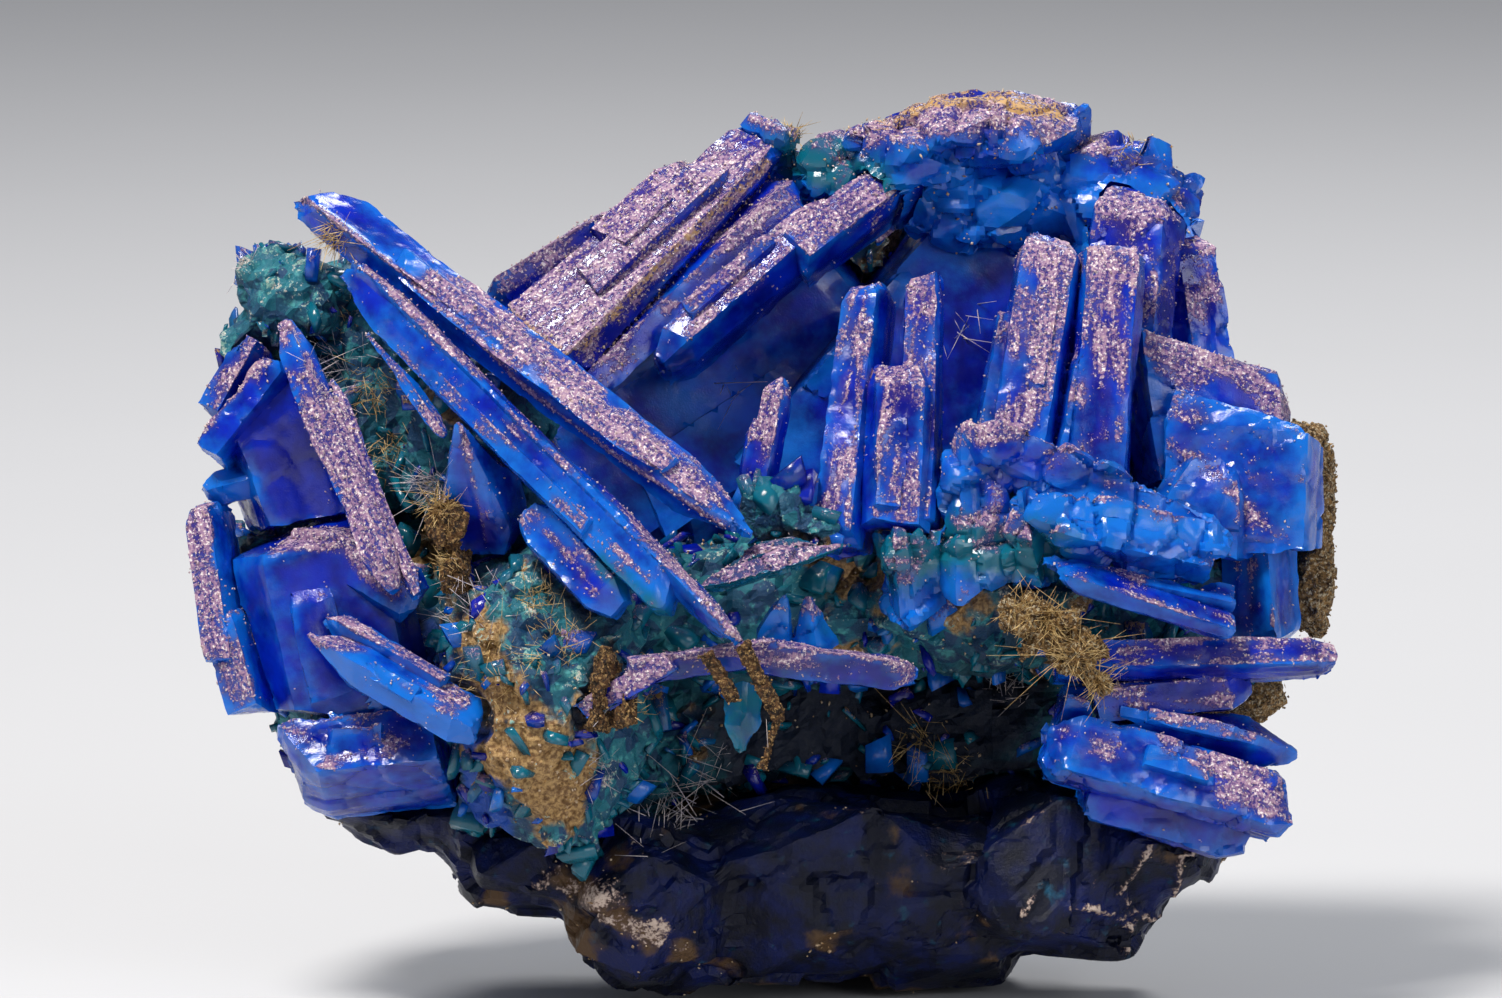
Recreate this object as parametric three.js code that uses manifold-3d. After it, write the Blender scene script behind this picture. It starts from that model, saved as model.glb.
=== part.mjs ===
// A specimen of chalcanthite: deep blue bladed crystals of hydrated copper sulphate, grown on
// a granular copper-stained matrix and a dark massive foot. The lists below give each piece as
// it is seen square on from the front, and the whole is then leaned back onto its flat cut base.
// Millimetres, +Z up, origin at the middle of the underside.
import * as THREE from "three";
import { ConvexGeometry } from "three/addons/geometries/ConvexGeometry.js";
import { mergeVertices } from "three/addons/utils/BufferGeometryUtils.js";
import Module from "manifold-3d";

const wasm = await Module();
wasm.setup();

// Driving dimensions
const LEAN_BACK = THREE.MathUtils.degToRad(8); // from square on to resting on its base
const BASE_CUT = -1.2; // height of the flat cut under the middle, as seen square on
const CLEARANCE = 0.3; // gap between neighbouring pieces
const SKEW = 0.06; // how far a section's corners stand off their places, as a share of it
const BROKEN_END = 0.16; // how far an end's corners stand ahead or back, in crystal widths
const WELD = 0.001; // corners closer than this are one
const BOXINESS = 3.2; // shape of a broken lump: 2 is a ball, and a large number a box
const LUMP_REACH = [0.84, 1.04]; // how far a lump's corners stand out, as shares of its size
const GROUND_SLAB = [200, 200, 40]; // the slab that cuts the base, wider than the specimen

// Growth ledges: where along the crystal they start and end, and their place and size, as
// shares of the crystal's length, width or thickness
const LEDGE_START = [0.08, 0.4];
const LEDGE_END = [0.6, 0.88];
const LEDGE_SIDE = [-0.22, 0.22];
const LEDGE_RISE = [0.04, 0.12];
const LEDGE_WIDTH = [0.3, 0.5];
const LEDGE_TIP = [0.1, 0.3];
const LEDGE_POINT = 0.7;
const LEDGE_SLANT = [-0.5, 0.5];

// Small fused crystals: their lean off the surface, how much of them is sunk and stands
// proud, and their section and taper, as shares of their length
const DRUSE_LEAN = [-0.9, 0.9];
const DRUSE_SUNK = 0.5;
const DRUSE_PROUD = 0.75;
const DRUSE_WIDTH = [0.45, 0.8];
const DRUSE_THICKNESS = [0.3, 0.5];
const DRUSE_TAPER = [0.25, 0.7];

// Sections of a crystal, as shares of its width (across) and thickness (out of its broad face)
const TABLET = [[-0.5, -0.12], [-0.37, 0.5], [0.4, 0.5], [0.5, 0.14], [0.36, -0.5], [-0.42, -0.5]];
const ROOF = [[-0.5, -0.05], [-0.06, 0.5], [0.08, 0.46], [0.5, 0.02], [0.34, -0.5], [-0.36, -0.5]];
const WEDGE = [[-0.5, 0.06], [-0.2, 0.5], [0.5, -0.02], [0.38, -0.5], [-0.32, -0.46]];
const SPLINTER = [[-0.5, -0.3], [-0.2, 0.5], [0.5, 0.3], [0.25, -0.5]];

// Finishes, one material each
const CRYSTAL_BLUE = { color: 0x0a3fc4, roughness: 0.25, metalness: 0 };
const MASSIVE_BLUE = { color: 0x0b1f6e, roughness: 0.4, metalness: 0 };
const MATRIX_TEAL = { color: 0x2f7f7d, roughness: 0.9, metalness: 0 };
const OCHRE = { color: 0xb98a3c, roughness: 0.95, metalness: 0 };
const BROWN_IRON = { color: 0x7a4f22, roughness: 0.95, metalness: 0 };

// Crystals, those in front first. Points are [x to the right, y away from the viewer, z up].
// Foot and head are the two ends' middles, facing is where the broad face looks, and an end
// narrows over its tip length to its point, a share of the section.
const CRYSTALS = {
  upper_long_blade: {
    finish: CRYSTAL_BLUE,
    prisms: [
      { foot: [-1.1, -15.6, 30.3], head: [-30.4, -5, 53], width: 4, thickness: 3.8, section: WEDGE,
        facing: [-0.1, -1, 0.15], footPoint: 0.2, footTip: 5.5, tip: 1.6, point: 0.6,
        slant: [-0.7, 0], ledges: 1 },
      { foot: [-7, -15.2, 34.4], head: [-25.6, -8, 48.4], width: 1.5, thickness: 2.4, section: SPLINTER,
        facing: [-0.2, -1, -0.1], footPoint: 0.3, footTip: 3, tip: 4, point: 0.2 },
    ],
  },
  lower_long_blade: {
    finish: CRYSTAL_BLUE,
    prisms: [
      { foot: [-2.2, -19.2, 23.3], head: [-27.6, -8, 48.3], width: 1.5, thickness: 3.4, section: ROOF,
        facing: [0, -1, 0.25], footPoint: 0.4, footTip: 2, tip: 3, point: 0.4 },
      { foot: [-6.2, -17.2, 26.1], head: [-28.2, -7.2, 47.6], width: 3.5, thickness: 3.4, section: TABLET,
        facing: [-0.25, -1, 0.1], footPoint: 0.7, footTip: 1, footSlant: [0.5, 0],
        tip: 5, point: 0.3, ledges: 2 },
      { foot: [-9.8, -15.6, 25.4], head: [-15.6, -12.6, 31.6], width: 3.4, thickness: 3, section: TABLET,
        facing: [-0.35, -1, 0.1], footPoint: 0.5, footTip: 1.5, tip: 1, point: 0.6 },
    ],
  },
  left_lath: {
    finish: CRYSTAL_BLUE,
    prisms: [
      { foot: [-24.8, -11.6, 26.6], head: [-32.2, -6.4, 44.4], width: 2.5, thickness: 2.4, section: TABLET,
        facing: [-0.5, -1, 0.15], footPoint: 0.3, footTip: 2.5, tip: 2, point: 0.5, ledges: 1 },
      { foot: [-23.2, -11, 26.2], head: [-29, -7.6, 40.6], width: 1.2, thickness: 1.7, section: SPLINTER,
        facing: [-0.2, -1, 0.2], tip: 2, point: 0.3 },
    ],
  },
  thin_lath: {
    finish: CRYSTAL_BLUE,
    prisms: [
      { foot: [-26.3, -9.6, 44], head: [-21.4, -11.8, 36.8], width: 1, thickness: 1, section: SPLINTER,
        facing: [-0.3, -1, 0.2], tip: 0.6, point: 0.5 },
    ],
  },
  pyramid_crystal: {
    finish: CRYSTAL_BLUE,
    prisms: [
      { foot: [-18.4, -9, 30.8], head: [-20.5, -14.4, 37.8], width: 6, thickness: 4.6, section: ROOF,
        facing: [0.15, -1, 0.3], tip: 6.4, point: 0.08 },
    ],
  },
  left_roof_crystal: {
    finish: CRYSTAL_BLUE,
    prisms: [
      { foot: [-31, -1.6, 31.2], head: [-34, -2.6, 39.8], width: 7.4, thickness: 7, section: TABLET,
        facing: [0.1, -1, 0.2], tip: 1.2, point: 0.9, slant: [0.35, 0] },
      { foot: [-36.9, -4.6, 35.5], head: [-32.2, -5, 41.5], width: 2.2, thickness: 3.6, section: TABLET,
        facing: [-0.3, -1, 0.3], tip: 0.8, point: 0.8, slant: [0.4, 0] },
      { foot: [-36.8, -3, 38.2], head: [-34, -2.6, 43.2], width: 2, thickness: 3.4, section: TABLET,
        facing: [-0.4, -1, 0.4], tip: 0.7, point: 0.7 },
      { foot: [-34.4, -3.4, 33.9], head: [-37.6, -4, 33.1], width: 2.2, thickness: 3, section: ROOF,
        facing: [-0.3, -1, 0.1], tip: 1, point: 0.5 },
    ],
  },
  left_edge_plate: {
    finish: CRYSTAL_BLUE,
    prisms: [
      { foot: [-35.8, -4.2, 22.2], head: [-37.3, -3.4, 32.4], width: 2.5, thickness: 5.4, section: TABLET,
        facing: [-0.35, -1, 0.1], tip: 0.6, point: 0.85, slant: [0.25, 0] },
      { foot: [-34, -4.4, 18.6], head: [-35.9, -3.8, 25.4], width: 2.7, thickness: 5, section: TABLET,
        facing: [-0.45, -1, 0.1], tip: 0.6, point: 0.8, slant: [-0.3, 0] },
    ],
  },
  broad_left_crystal: {
    finish: CRYSTAL_BLUE,
    prisms: [
      { foot: [-28, -3.6, 18.8], head: [-30.4, -4.6, 30.2], width: 11.2, thickness: 7, section: TABLET,
        facing: [0, -1, 0.15], tip: 0.8, point: 0.94, slant: [0.1, 0], ledges: 1 },
      { foot: [-23.2, -8.4, 26.2], head: [-31.6, -6.2, 30.6], width: 3.6, thickness: 3, section: ROOF,
        facing: [0.1, -1, 0.7], footPoint: 0.5, footTip: 1, tip: 3.2, point: 0.15 },
    ],
  },
  lower_left_blade: {
    finish: CRYSTAL_BLUE,
    prisms: [
      { foot: [-19.4, -13.4, 17.6], head: [-30.6, -9.6, 23.8], width: 3.6, thickness: 3, section: WEDGE,
        facing: [0.1, -1, 0.3], footPoint: 0.6, footTip: 1, tip: 4.5, point: 0.12, ledges: 1 },
      { foot: [-21.6, -12, 20.4], head: [-29.4, -8.8, 24.8], width: 1.7, thickness: 2.2, section: SPLINTER,
        facing: [0.1, -1, 0.5], tip: 1.5, point: 0.3 },
    ],
  },
  lower_left_block: {
    finish: CRYSTAL_BLUE,
    prisms: [
      { foot: [-21.6, -5.6, 15.6], head: [-31.6, -4.2, 14.6], width: 4.8, thickness: 8, section: TABLET,
        facing: [0.1, -1, 0.45], tip: 1.2, point: 0.7, slant: [0.5, 0], ledges: 1 },
      { foot: [-23, -7.4, 17.6], head: [-28.6, -6.2, 19.6], width: 2.2, thickness: 3, section: ROOF,
        facing: [0.1, -1, 0.7], tip: 1.4, point: 0.3 },
    ],
  },
  top_left_slab: {
    finish: CRYSTAL_BLUE,
    prisms: [
      { foot: [-15.4, 0.6, 42.6], head: [-0.6, 4.6, 56.6], width: 7.6, thickness: 5,
        section: TABLET, taper: 0.56, facing: [-0.3, -1, 0.45], footPoint: 0.8, footTip: 1,
        tip: 1, point: 0.85, slant: [0.2, 0], ledges: 2 },
      { foot: [-12.6, 0.8, 40.2], head: [1.4, 4.6, 53.6], width: 2.6, thickness: 5, section: TABLET,
        facing: [0.2, -1, -0.1], tip: 1, point: 0.7 },
      { foot: [-18.6, 1.8, 45.6], head: [-8, 3.4, 52], width: 3, thickness: 4, section: WEDGE,
        facing: [-0.2, -1, 0.4], footTip: 1.5, footPoint: 0.5, tip: 3, point: 0.3 },
    ],
  },
  second_slab: {
    finish: CRYSTAL_BLUE,
    prisms: [
      { foot: [-7.2, -0.4, 41.4], head: [4.2, 3.2, 51.4], width: 2.9, thickness: 5.4, section: TABLET,
        facing: [-0.35, -1, 0.3], footTip: 1.6, footPoint: 0.6, tip: 1.2, point: 0.7, ledges: 1 },
      { foot: [1.8, 1.4, 48.6], head: [8.2, 3.8, 53.4], width: 3.1, thickness: 5, section: TABLET,
        facing: [-0.2, -1, 0.35], tip: 1.4, point: 0.6, slant: [0.3, 0] },
    ],
  },
  third_slab: {
    finish: CRYSTAL_BLUE,
    prisms: [
      { foot: [6.8, 3.6, 51.4], head: [12.3, 5, 55.2], width: 2.3, thickness: 5, section: TABLET,
        facing: [-0.2, -1, 0.4], tip: 1.4, point: 0.5, slant: [0.3, 0] },
    ],
  },
  twin_blades: {
    finish: CRYSTAL_BLUE,
    prisms: [
      { foot: [4.8, -9.4, 29.6], head: [6.8, -5.4, 46.6], width: 3.4, thickness: 5.4, section: TABLET,
        facing: [-0.35, -1, 0.2], tip: 0.9, point: 0.75, taper: 0.8, slant: [0.3, 0] },
      { foot: [9.6, -9.8, 30.6], head: [10.3, -6, 47.2], width: 3.1, thickness: 5, section: TABLET,
        facing: [-0.1, -1, 0.2], tip: 0.8, point: 0.85, taper: 0.9, slant: [0.3, 0] },
      { foot: [8.2, -10.8, 31], head: [8.6, -9, 41], width: 4.6, thickness: 3.6, section: TABLET,
        facing: [0, -1, 0.2], tip: 1.2, point: 0.7, ledges: 2 },
    ],
  },
  small_upright_crystal: {
    finish: CRYSTAL_BLUE,
    prisms: [
      { foot: [-0.6, -10, 33.6], head: [0.8, -9.6, 40.8], width: 2.1, thickness: 2.4, section: ROOF,
        facing: [0.2, -1, 0.2], tip: 1.4, point: 0.2 },
      { foot: [-1.6, -9.6, 33.4], head: [-0.9, -9.4, 38], width: 1.3, thickness: 1.8, section: SPLINTER,
        facing: [-0.2, -1, 0.2], tip: 1.2, point: 0.3 },
    ],
  },
  right_prisms: {
    finish: CRYSTAL_BLUE,
    prisms: [
      { foot: [16.4, -6.8, 35.6], head: [18.8, -3.4, 49.8], width: 4.6, thickness: 5.6, section: TABLET,
        facing: [-0.1, -1, 0.2], tip: 1.2, point: 0.65, slant: [-0.2, 0.1], ledges: 1 },
      { foot: [15.4, -6.4, 37.4], head: [16, -4.8, 45], width: 4.4, thickness: 4.6, section: WEDGE,
        facing: [-0.4, -1, 0.2], taper: 0.5 },
      { foot: [21.2, -8.2, 33.4], head: [22.5, -4.6, 49.2], width: 4.4, thickness: 5, section: TABLET,
        facing: [0, -1, 0.15], tip: 1, point: 0.8, slant: [-0.15, 0] },
      { foot: [19.2, -9, 33], head: [21, -7.2, 43.4], width: 2.2, thickness: 3, section: ROOF,
        facing: [-0.2, -1, 0.15], tip: 2, point: 0.2 },
    ],
  },
  centre_ridge: {
    finish: CRYSTAL_BLUE,
    prisms: [
      { foot: [29.2, -9.6, 29.8], head: [12.6, -12.2, 37.4], width: 3.4, thickness: 4.6, section: ROOF,
        facing: [0.2, -0.7, 0.8], footTip: 1.4, footPoint: 0.5, tip: 2, point: 0.2 },
      { foot: [29.4, -11, 28.8], head: [17.2, -13.6, 31.8], width: 4.2, thickness: 4, section: TABLET,
        facing: [0.1, -1, 0.25], footTip: 0.8, footPoint: 0.7, tip: 3, point: 0.3, ledges: 1 },
      { foot: [13.2, -9.6, 27.4], head: [12.8, -12, 37.2], width: 7, thickness: 5, section: ROOF,
        facing: [-0.2, -1, 0.4], tip: 6.4, point: 0.15 },
      { foot: [9.6, -9.4, 25.8], head: [8.6, -12.4, 33.8], width: 4.6, thickness: 4.4, section: ROOF,
        facing: [-0.3, -1, 0.35], tip: 3.4, point: 0.25 },
      { foot: [18, -10.4, 27.4], head: [16.6, -12.4, 33.4], width: 4.6, thickness: 4, section: WEDGE,
        facing: [0.1, -1, 0.4], tip: 3, point: 0.2 },
    ],
  },
  right_laths: {
    finish: CRYSTAL_BLUE,
    prisms: [
      { foot: [30.6, -12.2, 24.1], head: [19.2, -15, 27.8], width: 2.1, thickness: 2.4, section: WEDGE,
        facing: [0.1, -1, 0.35], footTip: 0.5, footPoint: 0.8, tip: 1.2, point: 0.5 },
      { foot: [30.4, -11, 26], head: [17.8, -13.4, 28.6], width: 2, thickness: 2.6, section: WEDGE,
        facing: [0.1, -1, 0.3], tip: 2, point: 0.4 },
    ],
  },
  right_bright_prism: {
    finish: CRYSTAL_BLUE,
    prisms: [
      { foot: [33, -4, 23.4], head: [32.4, -3.4, 30.8], width: 5, thickness: 6, section: ROOF,
        facing: [0.15, -1, 0.1], tip: 0.9, point: 0.75, slant: [0.2, 0] },
    ],
  },
  long_horizontal_blade: {
    finish: CRYSTAL_BLUE,
    prisms: [
      { foot: [19, -10.6, 21.9], head: [37.3, -8.8, 22.2], width: 2.6, thickness: 4, section: TABLET,
        facing: [0, -1, 0.35], tip: 1.4, point: 0.6, slant: [0.2, 0] },
      { foot: [21.4, -9, 19.2], head: [31.6, -7.6, 20.2], width: 2.6, thickness: 4, section: TABLET,
        facing: [0, -1, -0.1], tip: 1.6, point: 0.4 },
    ],
  },
  lower_right_blade: {
    finish: CRYSTAL_BLUE,
    prisms: [
      { foot: [19.4, -9.4, 19.2], head: [35, -8.2, 15.8], width: 3.8, thickness: 4.4, section: ROOF,
        facing: [0, -1, 0.25], tip: 3.6, point: 0.15, ledges: 1 },
    ],
  },
  lowest_right_blade: {
    finish: CRYSTAL_BLUE,
    prisms: [
      { foot: [18, -10.6, 16.6], head: [34.2, -9.4, 12.2], width: 4.8, thickness: 5, section: TABLET,
        facing: [0, -1, 0.3], footTip: 1.5, footPoint: 0.5, tip: 1.2, point: 0.7,
        slant: [0.2, 0], ledges: 1 },
      { foot: [21, -8, 13.4], head: [31.4, -6.6, 10.2], width: 3.2, thickness: 5, section: TABLET,
        facing: [0, -1, -0.1], tip: 1.5, point: 0.5 },
    ],
  },
  lying_flake: {
    finish: CRYSTAL_BLUE,
    prisms: [
      { foot: [-4.8, -15.4, 26.9], head: [5.3, -13.8, 29.8], width: 1.4, thickness: 2.6, section: TABLET,
        facing: [0, -1, 0.2], footTip: 2, footPoint: 0.3, tip: 4, point: 0.15 },
      { foot: [-2.2, -14.2, 28.4], head: [3.2, -13.2, 29.6], width: 1.9, thickness: 2.2, section: ROOF,
        facing: [0, -1, 0.3], tip: 1.2, point: 0.3, footTip: 1.2, footPoint: 0.3 },
    ],
  },
  small_wedges: {
    finish: CRYSTAL_BLUE,
    prisms: [
      { foot: [-0.2, -13, 22.9], head: [1, -14.4, 26.5], width: 2.4, thickness: 2.4, section: WEDGE,
        facing: [-0.3, -1, 0.2], tip: 3, point: 0.12 },
      { foot: [2.9, -12.6, 23], head: [2.5, -14, 26.2], width: 3, thickness: 2.4, section: ROOF,
        facing: [0.2, -1, 0.3], tip: 2.8, point: 0.12 },
    ],
  },
  arch_blade: {
    finish: CRYSTAL_BLUE,
    prisms: [
      { foot: [-12.4, -14, 18.8], head: [-6.4, -16.4, 22.2], width: 2, thickness: 2.4, section: SPLINTER,
        facing: [0, -1, 0.3] },
      { foot: [-9.4, -16, 21.4], head: [0.4, -16, 22.7], width: 1.7, thickness: 2.6, section: WEDGE,
        facing: [0, -1, 0.3] },
      { foot: [-1, -16, 22.4], head: [9.6, -13, 21], width: 2.1, thickness: 2.8, section: WEDGE,
        facing: [0, -1, 0.35], tip: 1.4, point: 0.4 },
    ],
  },
  hanging_shard: {
    finish: CRYSTAL_BLUE,
    prisms: [
      { foot: [-1.8, -14.2, 20.4], head: [-2, -15.2, 15.9], width: 2.6, thickness: 1.8, section: ROOF,
        facing: [0.1, -1, -0.1], tip: 2.2, point: 0.25 },
    ],
  },
  brown_rod_upper: {
    finish: BROWN_IRON,
    prisms: [
      { foot: [-1.9, -18.8, 23.2], head: [0.7, -17.8, 18.1], width: 1.25, thickness: 1.2, section: SPLINTER,
        facing: [0.2, -1, 0], tip: 0.4, point: 0.6 },
      { foot: [0.5, -17.8, 18.6], head: [-0.5, -17.2, 15], width: 0.6, thickness: 0.5, section: SPLINTER,
        facing: [0, -1, 0] },
    ],
  },
  brown_rod_lower: {
    finish: BROWN_IRON,
    prisms: [
      { foot: [-4.2, -18.3, 22.6], head: [-2.3, -18, 19.4], width: 1.15, thickness: 1.1, section: SPLINTER,
        facing: [0.2, -1, 0], tip: 0.4, point: 0.6 },
    ],
  },
  brown_crust: {
    finish: BROWN_IRON,
    prisms: [
      { foot: [-11.4, -15.2, 17.6], head: [-10.6, -16, 23], width: 2, thickness: 2, section: ROOF,
        facing: [0, -1, 0.1], tip: 1, point: 0.4 },
      { foot: [-9.6, -15.6, 17.8], head: [-9.4, -15.6, 22], width: 1.5, thickness: 1.8, section: SPLINTER,
        facing: [0.2, -1, 0.1], tip: 0.8, point: 0.5 },
    ],
  },
  upper_right_block: {
    finish: CRYSTAL_BLUE,
    prisms: [
      { foot: [29.4, -1.6, 35], head: [28.6, -1, 41.8], width: 10.4, thickness: 8.4, section: TABLET,
        facing: [0.15, -1, 0.1], tip: 1.2, point: 0.85, slant: [-0.36, 0.15], ledges: 1 },
    ],
  },
  right_block: {
    finish: CRYSTAL_BLUE,
    prisms: [
      { foot: [31, -3, 28.2], head: [31.2, -3.4, 38.2], width: 11, thickness: 9, section: TABLET,
        facing: [-0.12, -1, 0.12], tip: 1.8, point: 0.85, slant: [-0.12, 0.25], ledges: 1 },
      { foot: [26.4, -6.8, 29.4], head: [28.6, -7.2, 35.4], width: 5.6, thickness: 4, section: WEDGE,
        facing: [-0.3, -1, 0.2], tip: 2.6, point: 0.4 },
    ],
  },
  crest_side_slab: {
    finish: CRYSTAL_BLUE,
    prisms: [
      { foot: [23.8, 0.4, 42.4], head: [24.8, 2, 52.8], width: 6.6, thickness: 6.4, section: TABLET,
        facing: [-0.2, -1, 0.2], tip: 1.8, point: 0.7, slant: [-0.1, 0.1] },
      { foot: [27.8, 3.4, 40], head: [26.4, 4.2, 50.4], width: 3.6, thickness: 7, section: TABLET,
        facing: [0.7, -1, 0.1], tip: 2, point: 0.6 },
    ],
  },
  inner_wall_crystals: {
    finish: CRYSTAL_BLUE,
    prisms: [
      { foot: [-14.4, 6.4, 31.6], head: [5.8, 9.6, 45.6], width: 13, thickness: 8, section: TABLET,
        facing: [0.12, -1, 0.12], tip: 1.5, point: 0.85, ledges: 1 },
      { foot: [2.4, 6.6, 33], head: [16.4, 9.4, 49.4], width: 14, thickness: 8, section: TABLET,
        facing: [0, -1, 0.1], tip: 1.5, point: 0.85, ledges: 1 },
      { foot: [-6, 5, 30.6], head: [3, 7.2, 36], width: 6, thickness: 5, section: ROOF,
        facing: [0, -1, 0.2], tip: 1.5, point: 0.5 },
    ],
  },
  back_lower_blades: {
    finish: CRYSTAL_BLUE,
    prisms: [
      { foot: [14, 12.8, 12], head: [-9, 15.6, 25], width: 5.4, thickness: 5, section: WEDGE,
        facing: [-0.1, 1, 0.3], tip: 2.4, point: 0.4, ledges: 1 },
      { foot: [-13, 13, 10], head: [-3, 15.4, 20], width: 4.6, thickness: 4.6, section: TABLET,
        facing: [0.2, 1, 0.2], tip: 2, point: 0.5 },
    ],
  },
  back_upper_blades: {
    finish: CRYSTAL_BLUE,
    prisms: [
      { foot: [24, 11.6, 33], head: [5, 15.2, 50], width: 5, thickness: 4.8, section: TABLET,
        facing: [0.1, 1, 0.3], tip: 2, point: 0.5, ledges: 1 },
      { foot: [1, 15, 32], head: [-9, 15.2, 46], width: 6, thickness: 4.6, section: WEDGE,
        facing: [-0.2, 1, 0.2], tip: 2.4, point: 0.3 },
    ],
  },
  back_left_blades: {
    finish: CRYSTAL_BLUE,
    prisms: [
      { foot: [-17, 11, 22], head: [-29.6, 7.4, 36], width: 4.6, thickness: 4.6, section: WEDGE,
        facing: [-0.4, 1, 0.3], tip: 2.6, point: 0.3 },
      { foot: [-17, 9.4, 37], head: [-28, 7.4, 46], width: 3.4, thickness: 4, section: TABLET,
        facing: [-0.3, 1, 0.2], tip: 1.8, point: 0.5 },
    ],
  },
};

// Irregular masses with broken faces: the centre and full size of each lump, and how many
// corners it has, with any rods that run through them
const MASSES = {
  golden_crust: {
    finish: OCHRE,
    boulders: [
      { centre: [16.6, -12.4, 24.8], size: [3.8, 4.4, 2.6], corners: 10 },
      { centre: [20, -12.2, 22.4], size: [3.4, 4.4, 3.2], corners: 10 },
    ],
    prisms: [
      { foot: [15.2, -13.4, 26], head: [22.4, -12.6, 20], width: 1.5, thickness: 2, section: ROOF,
        facing: [0, -1, 0.2], tip: 1, point: 0.5 },
      { foot: [16.8, -13.2, 26.2], head: [22.4, -12.8, 22.4], width: 1.2, thickness: 1.8,
        section: SPLINTER, facing: [0.1, -1, 0.3], tip: 0.8, point: 0.5 },
      { foot: [16.4, -13, 22.4], head: [20.6, -13.4, 25.6], width: 1.1, thickness: 1.6,
        section: SPLINTER, facing: [0, -1, 0.1], tip: 1, point: 0.4 },
    ],
  },
  brown_nest: {
    finish: BROWN_IRON,
    boulders: [
      { centre: [-21.2, -11.6, 31], size: [3, 3.4, 4], corners: 12 },
      { centre: [-20.8, -11.4, 28], size: [2.6, 3.2, 4], corners: 10 },
    ],
  },
  teal_lumps: {
    finish: MATRIX_TEAL,
    boulders: [
      { centre: [0.2, -11.4, 31.8], size: [5.6, 4.4, 5], corners: 12 },
      { centre: [3.2, -11.6, 30.4], size: [3.2, 3.6, 3.4], corners: 10 },
    ],
  },
  top_crest: {
    finish: CRYSTAL_BLUE,
    boulders: [
      { centre: [15, 4.6, 57.2], size: [14, 12, 5.8], corners: 18 },
      { centre: [15.4, 6.6, 52.2], size: [16.4, 12, 9], corners: 14 },
      { centre: [9.2, 4, 55.8], size: [9.4, 9.4, 6.6], corners: 12 },
      { centre: [23.4, 6.4, 51.6], size: [11.4, 12, 11.6], corners: 15 },
      { centre: [3.8, 4.6, 54.4], size: [5.6, 7, 5.4], corners: 12 },
      { centre: [0, 5.4, 56.8], size: [5, 5, 2.8], corners: 12 },
      { centre: [2, 7.4, 52.8], size: [8.6, 6, 7.4], corners: 12 },
    ],
  },
  ochre_rind_upper: {
    finish: OCHRE,
    boulders: [
      { centre: [35.9, 0.6, 33.4], size: [4, 10, 10], corners: 22 },
      { centre: [36.2, 1.4, 27.2], size: [3.2, 8, 8], corners: 18 },
    ],
  },
  ochre_rind_lower: {
    finish: OCHRE,
    boulders: [
      { centre: [32, -0.6, 19.6], size: [4.6, 8, 3.6], corners: 16 },
      { centre: [29.4, -1, 17.6], size: [4, 7, 4.4], corners: 14 },
    ],
  },
  dark_foot: {
    finish: MASSIVE_BLUE,
    boulders: [
      { centre: [4.6, 5.4, 6.4], size: [34, 22, 16.4], corners: 26 },
      { centre: [18.4, 3.4, 8], size: [22, 20, 14], corners: 22 },
      { centre: [-8, -1.4, 5.6], size: [13, 15, 13.6], corners: 20 },
      { centre: [25.4, 0.6, 10.2], size: [12, 15, 10], corners: 18 },
      { centre: [-16, 2.4, 9.4], size: [15, 17, 9.4], corners: 20 },
      { centre: [-23.4, 3, 12.6], size: [14, 15, 8.6], corners: 18 },
    ],
  },
  matrix: {
    finish: MATRIX_TEAL,
    boulders: [
      { centre: [-14.8, -4, 20.6], size: [15, 23, 24], corners: 20 },
      { centre: [-25.4, 4, 22.6], size: [19, 17, 20], corners: 16 },
      { centre: [-27.2, 2.6, 39.2], size: [13, 13, 20], corners: 16 },
      { centre: [-32, -1.4, 46.6], size: [8, 8, 7], corners: 14 },
      { centre: [-34.2, -0.6, 42.8], size: [5.4, 7, 6.4], corners: 10 },
      { centre: [-32.6, 0.6, 27], size: [8, 9, 15], corners: 12 },
      { centre: [-19, -3.4, 36.4], size: [11, 12, 15], corners: 14 },
      { centre: [1, 3, 25.8], size: [24, 20, 12], corners: 16 },
      { centre: [15, -1.6, 26.4], size: [20, 18, 12.6], corners: 16 },
      { centre: [26, 3, 27], size: [19, 17, 24], corners: 16 },
      { centre: [2, 12, 38], size: [38, 11, 34], corners: 20 },
      { centre: [22.4, 10, 39.4], size: [17, 13, 25], corners: 16 },
      { centre: [-3, 10.6, 15], size: [36, 16, 20], corners: 18 },
      { centre: [17, 9, 16], size: [22, 16, 16], corners: 16 },
    ],
    druse: [
      { low: [-22, -20, 8], high: [-8, -2, 34], count: 12, size: [1.8, 3.4] },
      { low: [-37, -10, 34], high: [-20, -2, 52], count: 5, size: [1.4, 2.6] },
      { low: [6, -20, 17], high: [24, -5, 32], count: 4, size: [1.6, 3] },
      { low: [-36, 4, 6], high: [34, 22, 54], count: 9, size: [2.4, 4.4] },
    ],
  },
};

// Seeded random numbers, so that each build is the same
function randomFrom(seed) {
  let state = seed >>> 0;
  return () => {
    state = (state + 0x6d2b79f5) >>> 0;
    let t = Math.imul(state ^ (state >>> 15), 1 | state);
    t = (t + Math.imul(t ^ (t >>> 7), 61 | t)) ^ t;
    return ((t ^ (t >>> 14)) >>> 0) / 4294967296;
  };
}

// A seed from a name
function seedOf(name) {
  return [...name].reduce((sum, letter) => (sum * 31 + letter.charCodeAt(0)) >>> 0, 7);
}

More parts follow.
